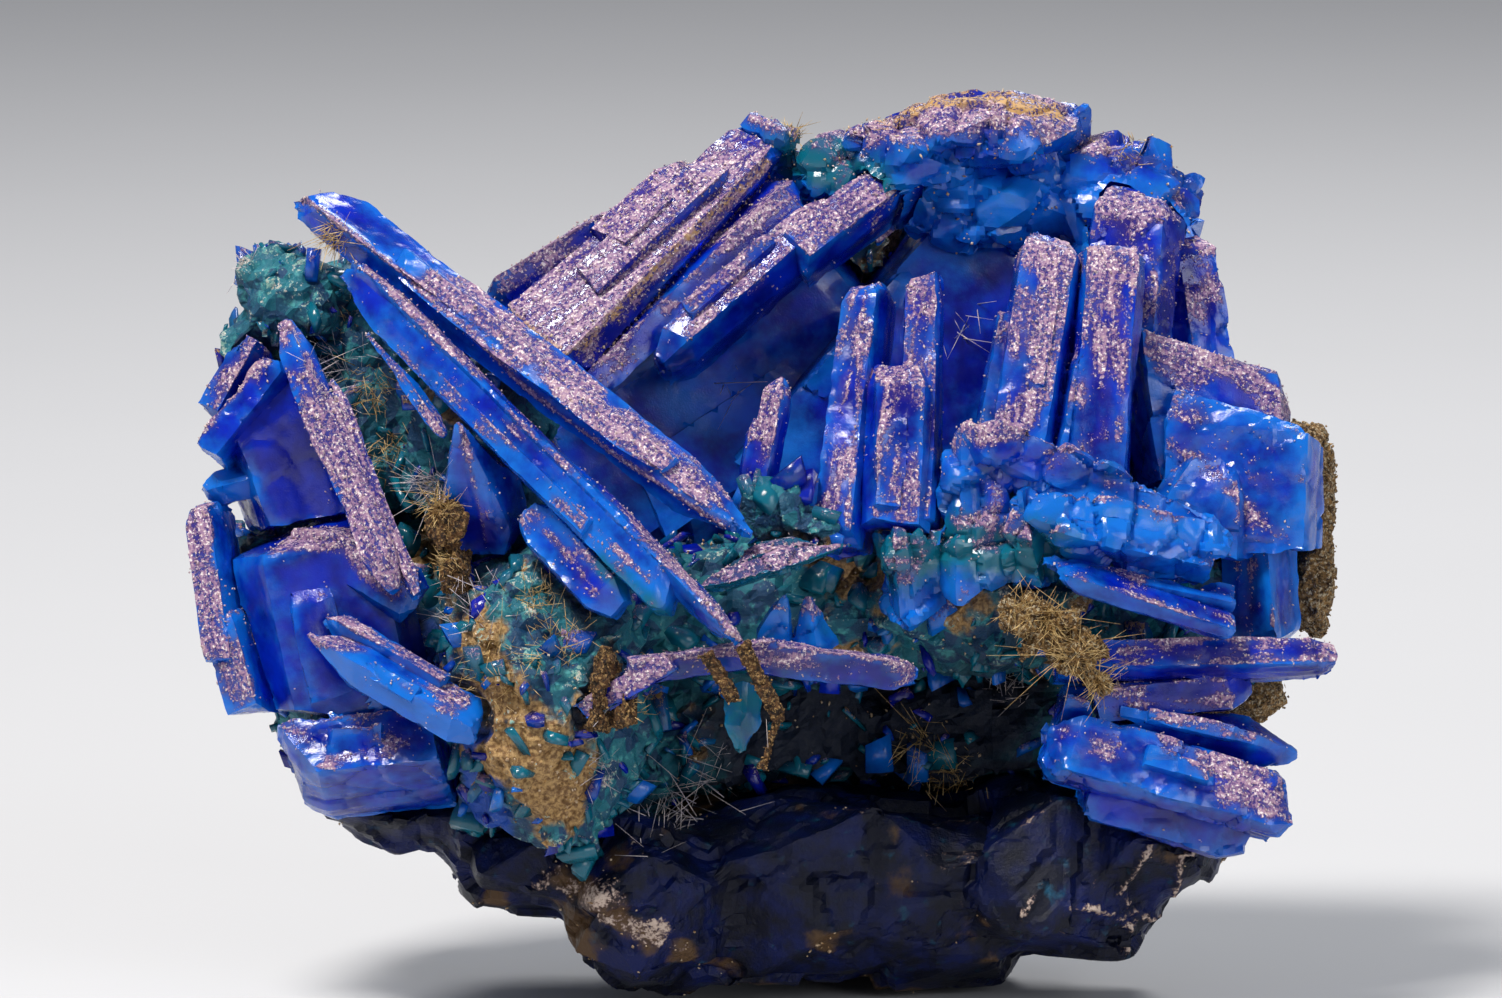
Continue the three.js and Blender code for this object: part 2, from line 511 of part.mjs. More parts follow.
const between = (random, low, high) => low + (high - low) * random();
const vector = (point) => new THREE.Vector3(...point);

// A closed three.js geometry as a solid that can be cut and joined
function solidOf(geometry) {
  geometry.deleteAttribute("normal");
  geometry.deleteAttribute("uv");
  const merged = mergeVertices(geometry, WELD);
  return new wasm.Manifold(
    new wasm.Mesh({
      numProp: 3,
      vertProperties: merged.attributes.position.array,
      triVerts: new Uint32Array(merged.index.array),
    }),
  );
}

const hull = (points) => solidOf(new ConvexGeometry(points));
const joined = (solids) => solids.reduce((whole, piece) => whole.add(piece));

// The directions of a crystal: along it, out of its broad face, and across that face
function directionsOf({ foot, head, facing }) {
  const along = vector(head).sub(vector(foot)).normalize();
  const out = vector(facing).projectOnPlane(along).normalize();
  return { along, out, across: new THREE.Vector3().crossVectors(along, out) };
}

// One crystal: its section swept from foot to head, each end drawn in over its tip length and
// cut on a slant. Its corners are a little off their places, so that no two crystals are alike
// and their ends look broken.
function crystal(spec, grow = 0) {
  const { width, thickness, section = TABLET, taper = 1 } = spec;
  const { point = 1, tip = 0, slant = [0, 0] } = spec;
  const { footPoint = 1, footTip = 0, footSlant = [0, 0] } = spec;
  const { along, out, across } = directionsOf(spec);
  const random = randomFrom(seedOf(String(spec.foot)));
  const wide = width + 2 * grow;
  const thick = thickness + 2 * grow;
  const foot = vector(spec.foot).addScaledVector(along, -grow);
  const head = vector(spec.head).addScaledVector(along, grow);
  const off = () => between(random, -SKEW, SKEW);
  const skewed = section.map(([u, v]) => [u + off(), v + off()]);
  const ring = (centre, share, lean) =>
    skewed.map(([u, v]) => {
      const broken = between(random, -BROKEN_END, BROKEN_END) * width;
      const ahead = lean[0] * u * wide + lean[1] * v * thick + broken;
      return centre
        .clone()
        .addScaledVector(across, u * wide * share)
        .addScaledVector(out, v * thick * share)
        .addScaledVector(along, ahead * share);
    });
  const rings = [
    ...ring(foot.clone().addScaledVector(along, footTip), 1, footSlant),
    ...ring(head.clone().addScaledVector(along, -tip), taper, slant),
  ];
  if (footTip) rings.push(...ring(foot, footPoint, footSlant));
  if (tip) rings.push(...ring(head, taper * point, slant));
  return hull(rings);
}

// Growth ledges: thin parallel plates standing a little proud of a crystal's broad face
function ledges(spec, random, grow) {
  const { along, out, across } = directionsOf(spec);
  const length = vector(spec.head).distanceTo(vector(spec.foot));
  return Array.from({ length: spec.ledges ?? 0 }, () => {
    const start = between(random, ...LEDGE_START) * length;
    const end = between(random, ...LEDGE_END) * length;
    const side = between(random, ...LEDGE_SIDE) * spec.width;
    const rise = between(random, ...LEDGE_RISE) * spec.thickness;
    const middle = (distance) =>
      vector(spec.foot)
        .addScaledVector(along, distance)
        .addScaledVector(across, side)
        .addScaledVector(out, rise)
        .toArray();
    const plate = {
      foot: middle(start),
      head: middle(end),
      facing: spec.facing,
      width: spec.width * between(random, ...LEDGE_WIDTH),
      thickness: spec.thickness,
      tip: between(random, ...LEDGE_TIP) * spec.width,
      point: LEDGE_POINT,
      slant: [between(random, ...LEDGE_SLANT), 0],
    };
    return crystal(plate, grow);
  });
}

// A broken lump: the hull of corners spread evenly over a box-like ball and pushed about
function boulder({ centre, size, corners }, random, grow = 0) {
  const turn = Math.PI * (3 - Math.sqrt(5));
  const phase = between(random, 0, 2 * Math.PI);
  const half = vector(size).multiplyScalar(0.5).addScalar(grow);
  const points = Array.from({ length: corners }, (_, i) => {
    const z = 1 - (2 * i + 1) / corners;
    const r = Math.sqrt(1 - z * z);
    const angle = phase + i * turn;
    const way = new THREE.Vector3(r * Math.cos(angle), r * Math.sin(angle), z);
    const sum = way.toArray().reduce((total, t) => total + Math.abs(t) ** BOXINESS, 0);
    way.multiplyScalar(sum ** (-1 / BOXINESS) * between(random, ...LUMP_REACH));
    return way.multiply(half).add(vector(centre));
  });
  return hull(points);
}

// Triangles of a solid with their areas and outward normals
function facesOf(solid) {
  const mesh = solid.getMesh();
  const corner = (i) =>
    new THREE.Vector3().fromArray(mesh.vertProperties, mesh.triVerts[i] * mesh.numProp);
  return Array.from({ length: mesh.numTri }, (_, i) => {
    const face = new THREE.Triangle(corner(3 * i), corner(3 * i + 1), corner(3 * i + 2));
    return { face, area: face.getArea(), normal: face.getNormal(new THREE.Vector3()) };
  });
}

// Small crystals standing on the part of a solid's surface that lies inside a box
function druse(solid, { low, high, count, size }, random) {
  const box = new THREE.Box3(vector(low), vector(high));
  const inside = ({ face }) => box.containsPoint(face.getMidpoint(new THREE.Vector3()));
  const faces = facesOf(solid).filter(inside);
  const total = faces.reduce((sum, { area }) => sum + area, 0);
  return Array.from({ length: count }, () => {
    let left = random() * total;
    const { face, normal } = faces.find(({ area }) => (left -= area) <= 0) ?? faces.at(-1);
    const [s, t] = [Math.sqrt(random()), random()];
    const root = face.a
      .clone()
      .multiplyScalar(1 - s)
      .addScaledVector(face.b, s * (1 - t))
      .addScaledVector(face.c, s * t);
    const lean = () => between(random, ...DRUSE_LEAN);
    const way = normal.clone().add(new THREE.Vector3(lean(), lean(), lean())).normalize();
    const length = between(random, ...size);
    return crystal({
      foot: root.clone().addScaledVector(way, -DRUSE_SUNK * length).toArray(),
      head: root.clone().addScaledVector(way, DRUSE_PROUD * length).toArray(),
      facing: [lean(), -1, lean()],
      width: length * between(random, ...DRUSE_WIDTH),
      thickness: length * between(random, ...DRUSE_THICKNESS),
      section: SPLINTER,
      taper: between(random, ...DRUSE_TAPER),
    });
  });
}

// The raw solid of one piece, grown a little where it serves to cut room for itself out of its neighbours
function rawPiece(name, { prisms = [], boulders = [], druse: growths = [] }, grow = 0) {
  const random = randomFrom(seedOf(name));
  const solids = [
    ...boulders.map((spec) => boulder(spec, random, grow)),
    ...prisms.map((spec) => crystal(spec, grow)),
    ...prisms.flatMap((spec) => ledges(spec, random, grow)),
  ];
  const body = joined(solids);
  return joined([body, ...growths.flatMap((growth) => druse(body, growth, random))]);
}

// Everything under the base is cut away: a slab turned against the lean, with its top at the base cut
function underside() {
  const slab = new THREE.BoxGeometry(...GROUND_SLAB).translate(0, 0, -GROUND_SLAB[2] / 2);
  slab.rotateX(LEAN_BACK).translate(0, 0, BASE_CUT);
  return solidOf(slab);
}

// The largest of the bodies that a solid falls into
function largest(solid) {
  return solid
    .decompose()
    .reduce((best, body) => (body.volume() > best.volume() ? body : best));
}

function meshOf(name, solid, finish) {
  const { vertProperties, triVerts } = solid.getMesh();
  const geometry = new THREE.BufferGeometry()
    .setAttribute("position", new THREE.BufferAttribute(vertProperties, 3))
    .setIndex(new THREE.BufferAttribute(triVerts, 1));
  geometry.computeVertexNormals();
  const material = new THREE.MeshStandardMaterial({ ...finish, flatShading: true });
  const mesh = new THREE.Mesh(geometry, material);
  mesh.name = name;
  return mesh;
}

// Each piece gives way, with clearance, to those listed before it
const specimen = new THREE.Group();
const ground = underside();
const taken = [ground];
for (const [name, piece] of Object.entries({ ...CRYSTALS, ...MASSES })) {
  const whole = rawPiece(name, piece);
  const solid = largest(whole.subtract(joined(taken)));
  specimen.add(meshOf(name, solid, piece.finish));
  taken.push(rawPiece(name, piece, CLEARANCE));
}

specimen.rotation.x = -LEAN_BACK;
specimen.updateMatrixWorld(true);
const bounds = new THREE.Box3().setFromObject(specimen, true);
const middle = bounds.getCenter(new THREE.Vector3());
specimen.position.set(-middle.x, -middle.y, -bounds.min.z);

export default specimen;
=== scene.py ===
"""Chalcanthite specimen: blue blades and blocks on a teal and ochre crust.

Every solid of the specimen gets a finely divided surface with growth lines, chipped
edges and a granular lilac bloom. Loose grains, glassy splinters and hair-like needles
grow on those surfaces. Lengths in the tables are millimetres unless a name says otherwise.
"""

import itertools
import math

import bmesh
import bpy
import numpy as np
from bpy.props import FloatProperty, FloatVectorProperty, IntProperty, PointerProperty
from mathutils import Matrix, Vector
from mathutils.bvhtree import BVHTree


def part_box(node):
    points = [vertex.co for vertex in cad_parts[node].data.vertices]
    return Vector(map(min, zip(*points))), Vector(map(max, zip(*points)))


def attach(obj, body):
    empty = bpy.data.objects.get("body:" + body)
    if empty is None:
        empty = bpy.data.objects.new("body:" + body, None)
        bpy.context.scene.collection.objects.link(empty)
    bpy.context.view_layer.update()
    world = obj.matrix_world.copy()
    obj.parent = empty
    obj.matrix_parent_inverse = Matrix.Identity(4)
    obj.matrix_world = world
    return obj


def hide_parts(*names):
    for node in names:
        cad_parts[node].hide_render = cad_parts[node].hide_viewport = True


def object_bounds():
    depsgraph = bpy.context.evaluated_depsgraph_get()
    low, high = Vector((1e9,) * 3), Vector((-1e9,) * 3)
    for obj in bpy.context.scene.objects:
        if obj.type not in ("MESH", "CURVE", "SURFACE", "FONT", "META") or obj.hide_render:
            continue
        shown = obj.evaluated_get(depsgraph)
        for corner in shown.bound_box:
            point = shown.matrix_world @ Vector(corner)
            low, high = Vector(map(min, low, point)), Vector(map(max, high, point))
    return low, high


bl_info = {
    "name": "Chalcanthite Specimen",
    "version": (1, 0, 0),
    "blender": (4, 5, 0),
    "location": "3D View > Sidebar > Chalcanthite",
    "description": "Dresses the solids of a chalcanthite specimen with crystal faces, crust and bloom",
    "category": "Object",
}

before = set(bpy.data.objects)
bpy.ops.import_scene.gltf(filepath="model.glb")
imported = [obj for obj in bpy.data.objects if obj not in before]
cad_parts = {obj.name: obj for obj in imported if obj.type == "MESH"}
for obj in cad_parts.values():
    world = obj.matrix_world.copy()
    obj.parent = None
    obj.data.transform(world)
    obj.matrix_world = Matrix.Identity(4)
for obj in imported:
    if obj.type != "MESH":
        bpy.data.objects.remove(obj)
CAD_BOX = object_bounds()

MILLI = 0.001

# The camera looks down by LEAN. TURN and SHIFT take a point that is given square on to
# the picture into the row frame. PIXELS pixels of the picture are one millimetre there.
LEAN = math.radians(8.0)
TURN = np.array(Matrix.Rotation(-LEAN, 3, "X"))
SHIFT = np.array((0.53880, -3.83082, 1.18832))
PIXELS = 15.0
PIXEL_ORIGIN = np.array((770.0, 990.0))
AIM = (-1.27, 0.0, 32.7)
FRAME_WIDTH = 100.13

# Lines of sight start this far along the view, in front of the specimen.
VIEW_START = -60.0

# The bloom settles on the faces that look this way, in patches and streaks, and less in
# sheltered places. Each share is how much one of these adds to the cover of a crystal.
BLOOM_SIDE = np.array((-0.12, -0.55, 0.83))
SIDE_SHARE = 0.75
PATCH_SHARE = 0.45
STREAK_SHARE = 0.3
SHELTER_SHARE = 0.5

# Pitches of the relief: one for all directions, or along the crystal and twice across it.
LINE_PITCH = np.array((9.0, 0.75, 0.75))
LEDGE_PITCH = np.array((6.0, 1.6, 1.6))
STREAK_PITCH = np.array((4.0, 0.5, 0.5))
STREAK_STRETCH = (0.1, 1.0, 1.0)
WARP_PITCH = 5.0
CHIP_PITCH = 0.9
SNAP_PITCH = 1.3
FACET_PITCH = 2.8
PATCH_PITCH = 1.9
LEDGE_STEPS = 3.0
PLAIN_FACET = 0.05
CRYSTAL_RIDGE = 0.14
CRUST_RIDGE = 0.4
SHARP_ANGLE = math.radians(24.0)

# One loose grain and one splinter, of about one millimetre each before they are scaled.
GRAIN = np.array(((1, 0, 0), (-1, 0.2, 0), (0, 1, 0.1), (0.1, -1, 0), (0, 0.1, 1), (0, 0, -1))) * 0.5
GRAIN_FACES = ((0, 2, 4), (2, 1, 4), (1, 3, 4), (3, 0, 4), (2, 0, 5), (1, 2, 5), (3, 1, 5), (0, 3, 5))
SPLINTER_OUTLINE = ((-0.5, -0.18), (0.1, -0.28), (0.5, -0.05), (0.42, 0.22), (-0.1, 0.28), (-0.48, 0.12))
SPLINTER_TOPS = (0.5, 0.32, 0.2, 0.26, 0.42, 0.55)
SPLINTER_TAPER = 0.9
NEEDLE_CORNERS = (0.0, 2.1, 4.2)
NEEDLE_TAPER = 0.3
NEEDLE_FACES = ((0, 2, 1), (3, 4, 5), (0, 1, 4), (0, 4, 3), (1, 2, 5), (1, 5, 4), (2, 0, 3), (2, 3, 5))

# Channels that the materials read. The shade channel is painted shade.
CHANNELS = ("bloom", "azure", "teal", "stain", "edge", "shade")

CRYSTAL_IOR = 1.54
CRUST_IOR = 1.5
ABSORBED_COLOUR = (0.02, 0.45, 0.95)
CRUST_TONES = {
    "deep": (0.002, 0.045, 0.12),
    "teal": (0.005, 0.15, 0.20),
    "mint": (0.07, 0.36, 0.36),
    "glass": (0.003, 0.07, 0.42),
    "brown": (0.16, 0.075, 0.02),
    "ochre": (0.50, 0.31, 0.12),
    "frost": (0.22, 0.42, 0.36),
    "cream": (0.74, 0.62, 0.52),
    # Painted shade: the near-black blue that sheltered places and the cave are darkened to.
    "shade": (0.001, 0.006, 0.022),
}
FOOT_TONES = {
    "deep": (0.0006, 0.002, 0.012),
    "blue": (0.0010, 0.007, 0.075),
    "teal": (0.006, 0.07, 0.13),
    "brown": (0.10, 0.055, 0.025),
    "frost": (0.16, 0.10, 0.09),
    "cream": (0.58, 0.46, 0.38),
    # Painted shade: the near-black that sheltered places of the foot are darkened to.
    "shade": (0.001, 0.002, 0.006),
}

# Rusty finishes by record slot: their name and their dark, light and pale tones.
EARTHY = {
    "brown_iron": ("rusty_iron", (0.012, 0.005, 0.002), (0.13, 0.055, 0.014), (0.42, 0.25, 0.09)),
    "ochre": ("ochre_rind", (0.05, 0.022, 0.006), (0.34, 0.19, 0.06), (0.62, 0.52, 0.34)),
}

# Loose grains, crumbs and needles: their two tones, roughness, clearness and record slot.
SMALL_FINISHES = {
    "bloom_grains": ((0.34, 0.22, 0.28), (0.80, 0.62, 0.56), 0.35, 0.1, "crystal_blue"),
    "ochre_crumbs": ((0.26, 0.13, 0.035), (0.74, 0.58, 0.40), 0.6, 0.0, "ochre"),
    "rust_crumbs": ((0.03, 0.012, 0.003), (0.42, 0.25, 0.09), 0.6, 0.0, "brown_iron"),
    "golden_needles": ((0.30, 0.16, 0.04), (0.80, 0.58, 0.26), 0.45, 0.0, "ochre"),
    "pale_needles": ((0.34, 0.32, 0.40), (0.86, 0.74, 0.68), 0.45, 0.0, "crystal_blue"),
}
SEEDS = {"bloom_grains": 5, "teal_splinters": 17, "ochre_crumbs": 29, "rust_crumbs": 30, "needles": 41}
GRAIN_SPREAD = 0.35
CRUMB_SPREAD = 0.4
LEAST_FREE = 0.3
CRUMB_SCALE = 1.3
CRUMB_LIFT = 0.04

# Each lamp: its size, its place from the specimen's middle, both in metres, and its tint.
LAMPS = {
    "key": (0.16, (-0.22, -0.24, 0.55), (1.0, 0.97, 0.93)),
    "fill": (0.35, (0.42, -0.45, 0.20), (0.93, 0.96, 1.0)),
    "back": (0.20, (0.10, 0.36, 0.42), (1.0, 1.0, 1.0)),
}
SKY = (0.80, 0.86, 1.0, 1.0)
SKY_STRENGTH = 0.2
FLOOR_HALF = 40.0
FLOOR_SHADE = 0.97
SENSOR_WIDTH = 36.0

# Each row: bloom, azure, teal, stain, growth lines, mesh size.
CRYSTALS = {
    "left_blades": {
        "upper_long_blade": (0.05, 0.45, 0.0, 0.0, 1.0, 0.2),
        "lower_long_blade": (0.1, 0.35, 0.05, 0.0, 1.3, 0.2),
        "left_lath": (0.45, 0.3, 0.05, 0.05, 1.0, 0.18),
        "thin_lath": (0.5, 0.3, 0.0, 0.1, 0.6, 0.14),
        "pyramid_crystal": (0.3, 0.3, 0.0, 0.05, 0.5, 0.16),
    },
    "left_edge": {
        "left_roof_crystal": (0.05, 0.1, 0.0, 0.02, 0.7, 0.22),
        "left_edge_plate": (0.25, 0.35, 0.1, 0.02, 0.5, 0.2),
        "broad_left_crystal": (-0.3, 0.12, 0.0, 0.0, 0.4, 0.24),
        "lower_left_blade": (0.1, 0.6, 0.1, 0.0, 0.9, 0.2),
        "lower_left_block": (0.1, 0.3, 0.15, 0.05, 0.6, 0.22),
    },
    "recess": {
        "top_left_slab": (0.4, 0.1, 0.0, 0.12, 1.0, 0.24),
        "second_slab": (0.35, 0.15, 0.0, 0.03, 0.8, 0.22),
        "third_slab": (0.4, 0.1, 0.0, 0.02, 0.5, 0.2),
        "top_crest": (0.15, 0.3, 0.3, 0.25, 0.5, 0.28),
        "crest_side_slab": (0.35, 0.15, 0.05, 0.1, 0.6, 0.24),
        "inner_wall_crystals": (-0.9, 0.3, 0.0, 0.0, 0.8, 0.36),
        "twin_blades": (0.3, 0.2, 0.0, 0.0, 1.2, 0.22),
        "small_upright_crystal": (0.35, 0.15, 0.0, 0.05, 0.8, 0.16),
        "right_prisms": (0.15, 0.3, 0.0, 0.02, 0.9, 0.24),
    },
    "right_side": {
        "upper_right_block": (0.15, 0.35, 0.15, 0.05, 0.6, 0.24),
        "right_block": (-0.05, 0.4, 0.1, 0.03, 0.6, 0.24),
        "right_bright_prism": (0.15, 0.6, 0.1, 0.02, 0.7, 0.2),
        "centre_ridge": (0.1, 0.4, 0.3, 0.05, 0.8, 0.22),
        "right_laths": (0.15, 0.35, 0.1, 0.03, 1.0, 0.18),
        "long_horizontal_blade": (0.4, 0.1, 0.0, 0.2, 1.0, 0.22),
        "lower_right_blade": (0.1, 0.3, 0.1, 0.03, 1.0, 0.2),
        "lowest_right_blade": (0.0, 0.25, 0.15, 0.05, 0.8, 0.22),
    },
    "front_chips": {
        "lying_flake": (0.45, 0.4, 0.8, 0.15, 0.6, 0.14),
        "small_wedges": (0.15, 0.6, 0.4, 0.0, 0.5, 0.14),
        "arch_blade": (0.55, 0.1, 0.35, 0.3, 0.8, 0.18),
        "hanging_shard": (-0.4, 0.1, 0.75, 0.0, 0.3, 0.14),
    },
    "back_blades": {
        "back_lower_blades": (0.1, 0.2, 0.1, 0.05, 0.9, 0.28),
        "back_upper_blades": (0.15, 0.25, 0.05, 0.03, 0.9, 0.26),
        "back_left_blades": (0.1, 0.25, 0.1, 0.05, 0.9, 0.26),
    },
}

# How deep the broken facets are on the crystals that have no clean faces.
FRACTURED = {
    "top_crest": 1.1,
    "centre_ridge": 0.8,
    "upper_right_block": 0.35,
    "right_block": 0.2,
    "crest_side_slab": 0.35,
    "left_roof_crystal": 0.12,
    "lower_left_block": 0.2,
    "lowest_right_blade": 0.3,
    "lying_flake": 0.25,
    "small_wedges": 0.2,
}

# Each row: roughness of the crust, size of its lumps, mesh size, record slot.
MASSES = {
    "matrix": (0.8, 1.9, 0.56, "matrix_teal"),
    "teal_lumps": (0.5, 1.2, 0.18, "matrix_teal"),
    "dark_foot": (0.3, 8.0, 0.46, "massive_blue"),
}
RUST = {
    "brown_rod_upper": (0.75, 0.5, 0.09, "brown_iron"),
    "brown_rod_lower": (0.75, 0.5, 0.09, "brown_iron"),
    "brown_crust": (0.9, 0.6, 0.13, "brown_iron"),
    "brown_nest": (1.0, 0.8, 0.14, "brown_iron"),
    "golden_crust": (1.0, 0.8, 0.16, "ochre"),
    "ochre_rind_upper": (0.8, 1.0, 0.22, "ochre"),
    "ochre_rind_lower": (0.8, 1.0, 0.2, "ochre"),
}

# Marks on each piece as it is seen from the front: channel, amount, width and the
# corners of the line, in pixels of the 1502 x 998 picture.
# Shade marks are painted shade, and azure marks on crystals are partly painted light.
MARKS = {
    "upper_long_blade": (
        ("ridge", 1.0, 4, (298, 194), (421, 286), (528, 388), (613, 453), (724, 525)),
        ("bloom", -0.9, 24, (340, 195), (390, 232), (415, 258)),
        ("bloom", 0.7, 16, (430, 285), (500, 330), (600, 415), (700, 490)),
        ("bloom", -0.9, 10, (540, 421), (625, 484), (676, 535)),
        ("azure", 0.8, 12, (480, 385), (540, 430), (625, 492), (676, 535)),
    ),
    "lower_long_blade": (
        ("ridge", 1.0, 4, (351, 251), (475, 369), (545, 424), (741, 639)),
        ("azure", 0.7, 16, (560, 500), (661, 600)),
        ("teal", 0.7, 14, (600, 560), (670, 620)),
    ),
    "left_lath": (
        ("bloom", 0.8, 16, (330, 430), (400, 570)),
    ),
    "pyramid_crystal": (
        ("ridge", 0.8, 4, (464, 424), (490, 540)),
    ),
    "left_roof_crystal": (
        ("bloom", 0.9, 14, (200, 430), (235, 385), (275, 350)),
        ("bloom", -0.9, 50, (250, 450), (320, 440)),
        ("azure", 0.9, 14, (210, 475), (248, 490)),
    ),
    "left_edge_plate": (
        ("bloom", 0.6, 12, (205, 510), (215, 640)),
        ("azure", 0.8, 12, (235, 600), (245, 680)),
    ),
    "broad_left_crystal": (
        ("bloom", 1.3, 16, (300, 540), (350, 545), (395, 590)),
        ("ridge", 0.6, 3, (237, 545), (300, 530), (400, 545)),
    ),
    "lower_left_blade": (
        ("azure", 0.6, 12, (320, 660), (470, 720)),
        ("bloom", 0.5, 10, (310, 640), (400, 640), (470, 700)),
    ),
    "top_left_slab": (
        ("stain", 0.45, 8, (490, 300), (570, 360), (700, 225), (780, 150)),
        ("bloom", 0.8, 7, (560, 350), (640, 290), (700, 235), (770, 165)),
        ("bloom", 0.4, 60, (560, 280), (700, 190)),
    ),
    "second_slab": (
        ("bloom", 0.8, 20, (820, 205), (893, 200)),
    ),
    "third_slab": (
        ("bloom", 0.9, 14, (898, 165), (957, 160)),
    ),
    "top_crest": (
        ("bloom", 0.9, 20, (860, 120), (960, 110), (1030, 110), (1085, 140)),
        ("teal", 0.9, 26, (800, 150), (870, 190)),
        ("stain", 0.8, 8, (870, 112), (1000, 95), (1060, 112)),
        ("bloom", -0.9, 34, (960, 190), (1080, 200)),
        ("azure", 0.6, 30, (960, 200), (1080, 210)),
    ),
    "twin_blades": (
        ("ridge", 0.6, 3, (862, 300), (855, 420), (845, 520)),
    ),
    "right_prisms": (
        ("bloom", 0.7, 20, (1030, 250), (1090, 270), (1135, 270)),
    ),
    "upper_right_block": (
        ("bloom", 0.9, 16, (1150, 350), (1230, 370), (1285, 410)),
    ),
    "right_block": (
        ("bloom", 0.5, 10, (1150, 440), (1200, 460), (1250, 520)),
    ),
    "centre_ridge": (
        ("bloom", 0.8, 18, (880, 500), (950, 440), (1000, 430)),
        ("bloom", 0.5, 34, (900, 560), (1000, 540)),
        ("teal", 0.7, 30, (880, 560), (960, 540), (1040, 560)),
        ("azure", 0.8, 20, (1050, 500), (1200, 530)),
        ("bloom", -0.8, 14, (1060, 515), (1190, 545)),
    ),
    "inner_wall_crystals": (
        # Painted light: azure brightens the inner wall, which stands in shade.
        ("azure", 0.5, 26, (680, 400), (740, 410), (790, 440)),
        ("azure", 0.4, 20, (960, 260), (1010, 230)),
    ),
    "arch_blade": (
        ("bloom", 1.0, 8, (640, 650), (720, 645), (800, 660)),
    ),
    "lowest_right_blade": (
        ("bloom", 0.8, 18, (1200, 760), (1270, 800)),
    ),
    "dark_foot": (
        ("bloom", 0.8, 22, (560, 880), (640, 930), (700, 960)),
        ("stain", 0.7, 20, (570, 880), (650, 940)),
        ("ridge", 1.0, 4, (1208, 846), (1179, 864), (1176, 899)),
        ("ridge", 1.0, 4, (1149, 846), (1123, 893), (1135, 911), (1158, 923), (1187, 923)),
        ("ridge", 1.0, 4, (1067, 907), (1099, 911), (1126, 920), (1138, 931)),
        ("ridge", 0.8, 4, (1041, 882), (1029, 902), (1020, 915)),
        ("bloom", 0.6, 9, (1240, 849), (1223, 882), (1193, 917), (1173, 949), (1135, 964)),
        # Painted shade on the foot below the overhang.
        ("shade", 0.5, 90, (760, 830), (900, 900), (1000, 850)),
    ),
    "matrix": (
        # Painted shade in the cave behind the arch.
        ("shade", 0.9, 70, (760, 740), (900, 740), (980, 720)),
        ("azure", 0.9, 24, (470, 740), (500, 860)),
        ("azure", 0.6, 24, (420, 620), (450, 700)),
        ("bloom", 0.45, 30, (590, 690), (620, 840)),
        ("bloom", 0.2, 40, (250, 260), (310, 300)),
        ("stain", 0.8, 34, (500, 690), (550, 790)),
        ("stain", 0.7, 20, (590, 700), (620, 690)),
        ("stain", 0.5, 22, (430, 560), (470, 640)),
        ("stain", 0.6, 30, (900, 700), (950, 780)),
        ("stain", 0.4, 26, (1000, 600), (1090, 690)),
    ),
}


# Tufts of fine needles: where they grow, in pixels of the picture, how far they spread
# there, how many there are, how long they are in millimetres, and their finish.
TUFTS = (
    (337, 242, 14, 90, 1.1, "golden"),
    (352, 322, 12, 50, 0.8, "golden"),
    (245, 262, 10, 40, 0.7, "pale"),
    (372, 392, 22, 90, 1.2, "golden"),
    (340, 370, 26, 60, 1.8, "pale"),
    (392, 452, 20, 70, 1.4, "golden"),
    (436, 486, 12, 60, 2.2, "pale"),
    (442, 505, 12, 110, 1.1, "golden"),
    (448, 560, 12, 60, 0.8, "golden"),
    (470, 600, 30, 70, 1.3, "pale"),
    (540, 600, 20, 90, 1.4, "golden"),
    (560, 640, 26, 90, 1.3, "golden"),
    (500, 670, 30, 80, 1.0, "golden"),
    (600, 760, 26, 30, 1.3, "pale"),
    (700, 780, 34, 60, 2.2, "pale"),
    (660, 820, 26, 50, 1.6, "pale"),
    (925, 740, 26, 60, 1.8, "golden"),
    (950, 780, 22, 60, 1.4, "golden"),
    (960, 330, 22, 12, 2.6, "pale"),
    (730, 390, 16, 9, 1.8, "pale"),
    (1020, 610, 16, 90, 1.2, "golden"),
    (1045, 622, 18, 110, 1.6, "golden"),
    (1075, 650, 18, 110, 1.6, "golden"),
    (1095, 682, 14, 80, 1.2, "golden"),
    (1010, 690, 18, 50, 1.2, "pale"),
    (795, 128, 12, 60, 0.7, "golden"),
    (1130, 150, 14, 40, 0.6, "golden"),
    (650, 700, 14, 50, 0.9, "golden"),
)


def to_row(points):
    """Points given square on to the picture, as points of the row frame."""
    return np.asarray(points, float) @ TURN.T + SHIFT


def to_seen(points):
    """Row frame points as pixels of the picture: across and down."""
    square = (points - SHIFT) @ TURN
    across = PIXEL_ORIGIN[0] + square[:, 0] * PIXELS
    down = PIXEL_ORIGIN[1] - square[:, 2] * PIXELS
    return np.column_stack((across, down))


def smooth_step(low, high, value):
    """A soft step from 0 at low to 1 at high."""
    part = np.clip((value - low) / (high - low), 0.0, 1.0)
    return part * part * (3.0 - 2.0 * part)


def hashed(cell, seed):
    """Repeatable numbers from 0 to 1 for whole-number points."""
    x, y, z = (cell[:, axis].astype(np.uint32) for axis in range(3))
    code = x * np.uint32(374761393) + y * np.uint32(668265263) + z * np.uint32(2246822519)
    code = code + np.uint32(seed * 97531 % 4294967291)
    code = (code ^ (code >> np.uint32(15))) * np.uint32(2246822519)
    code = (code ^ (code >> np.uint32(13))) * np.uint32(3266489917)
    code = code ^ (code >> np.uint32(16))
    return (code & np.uint32(16777215)) / 16777215.0


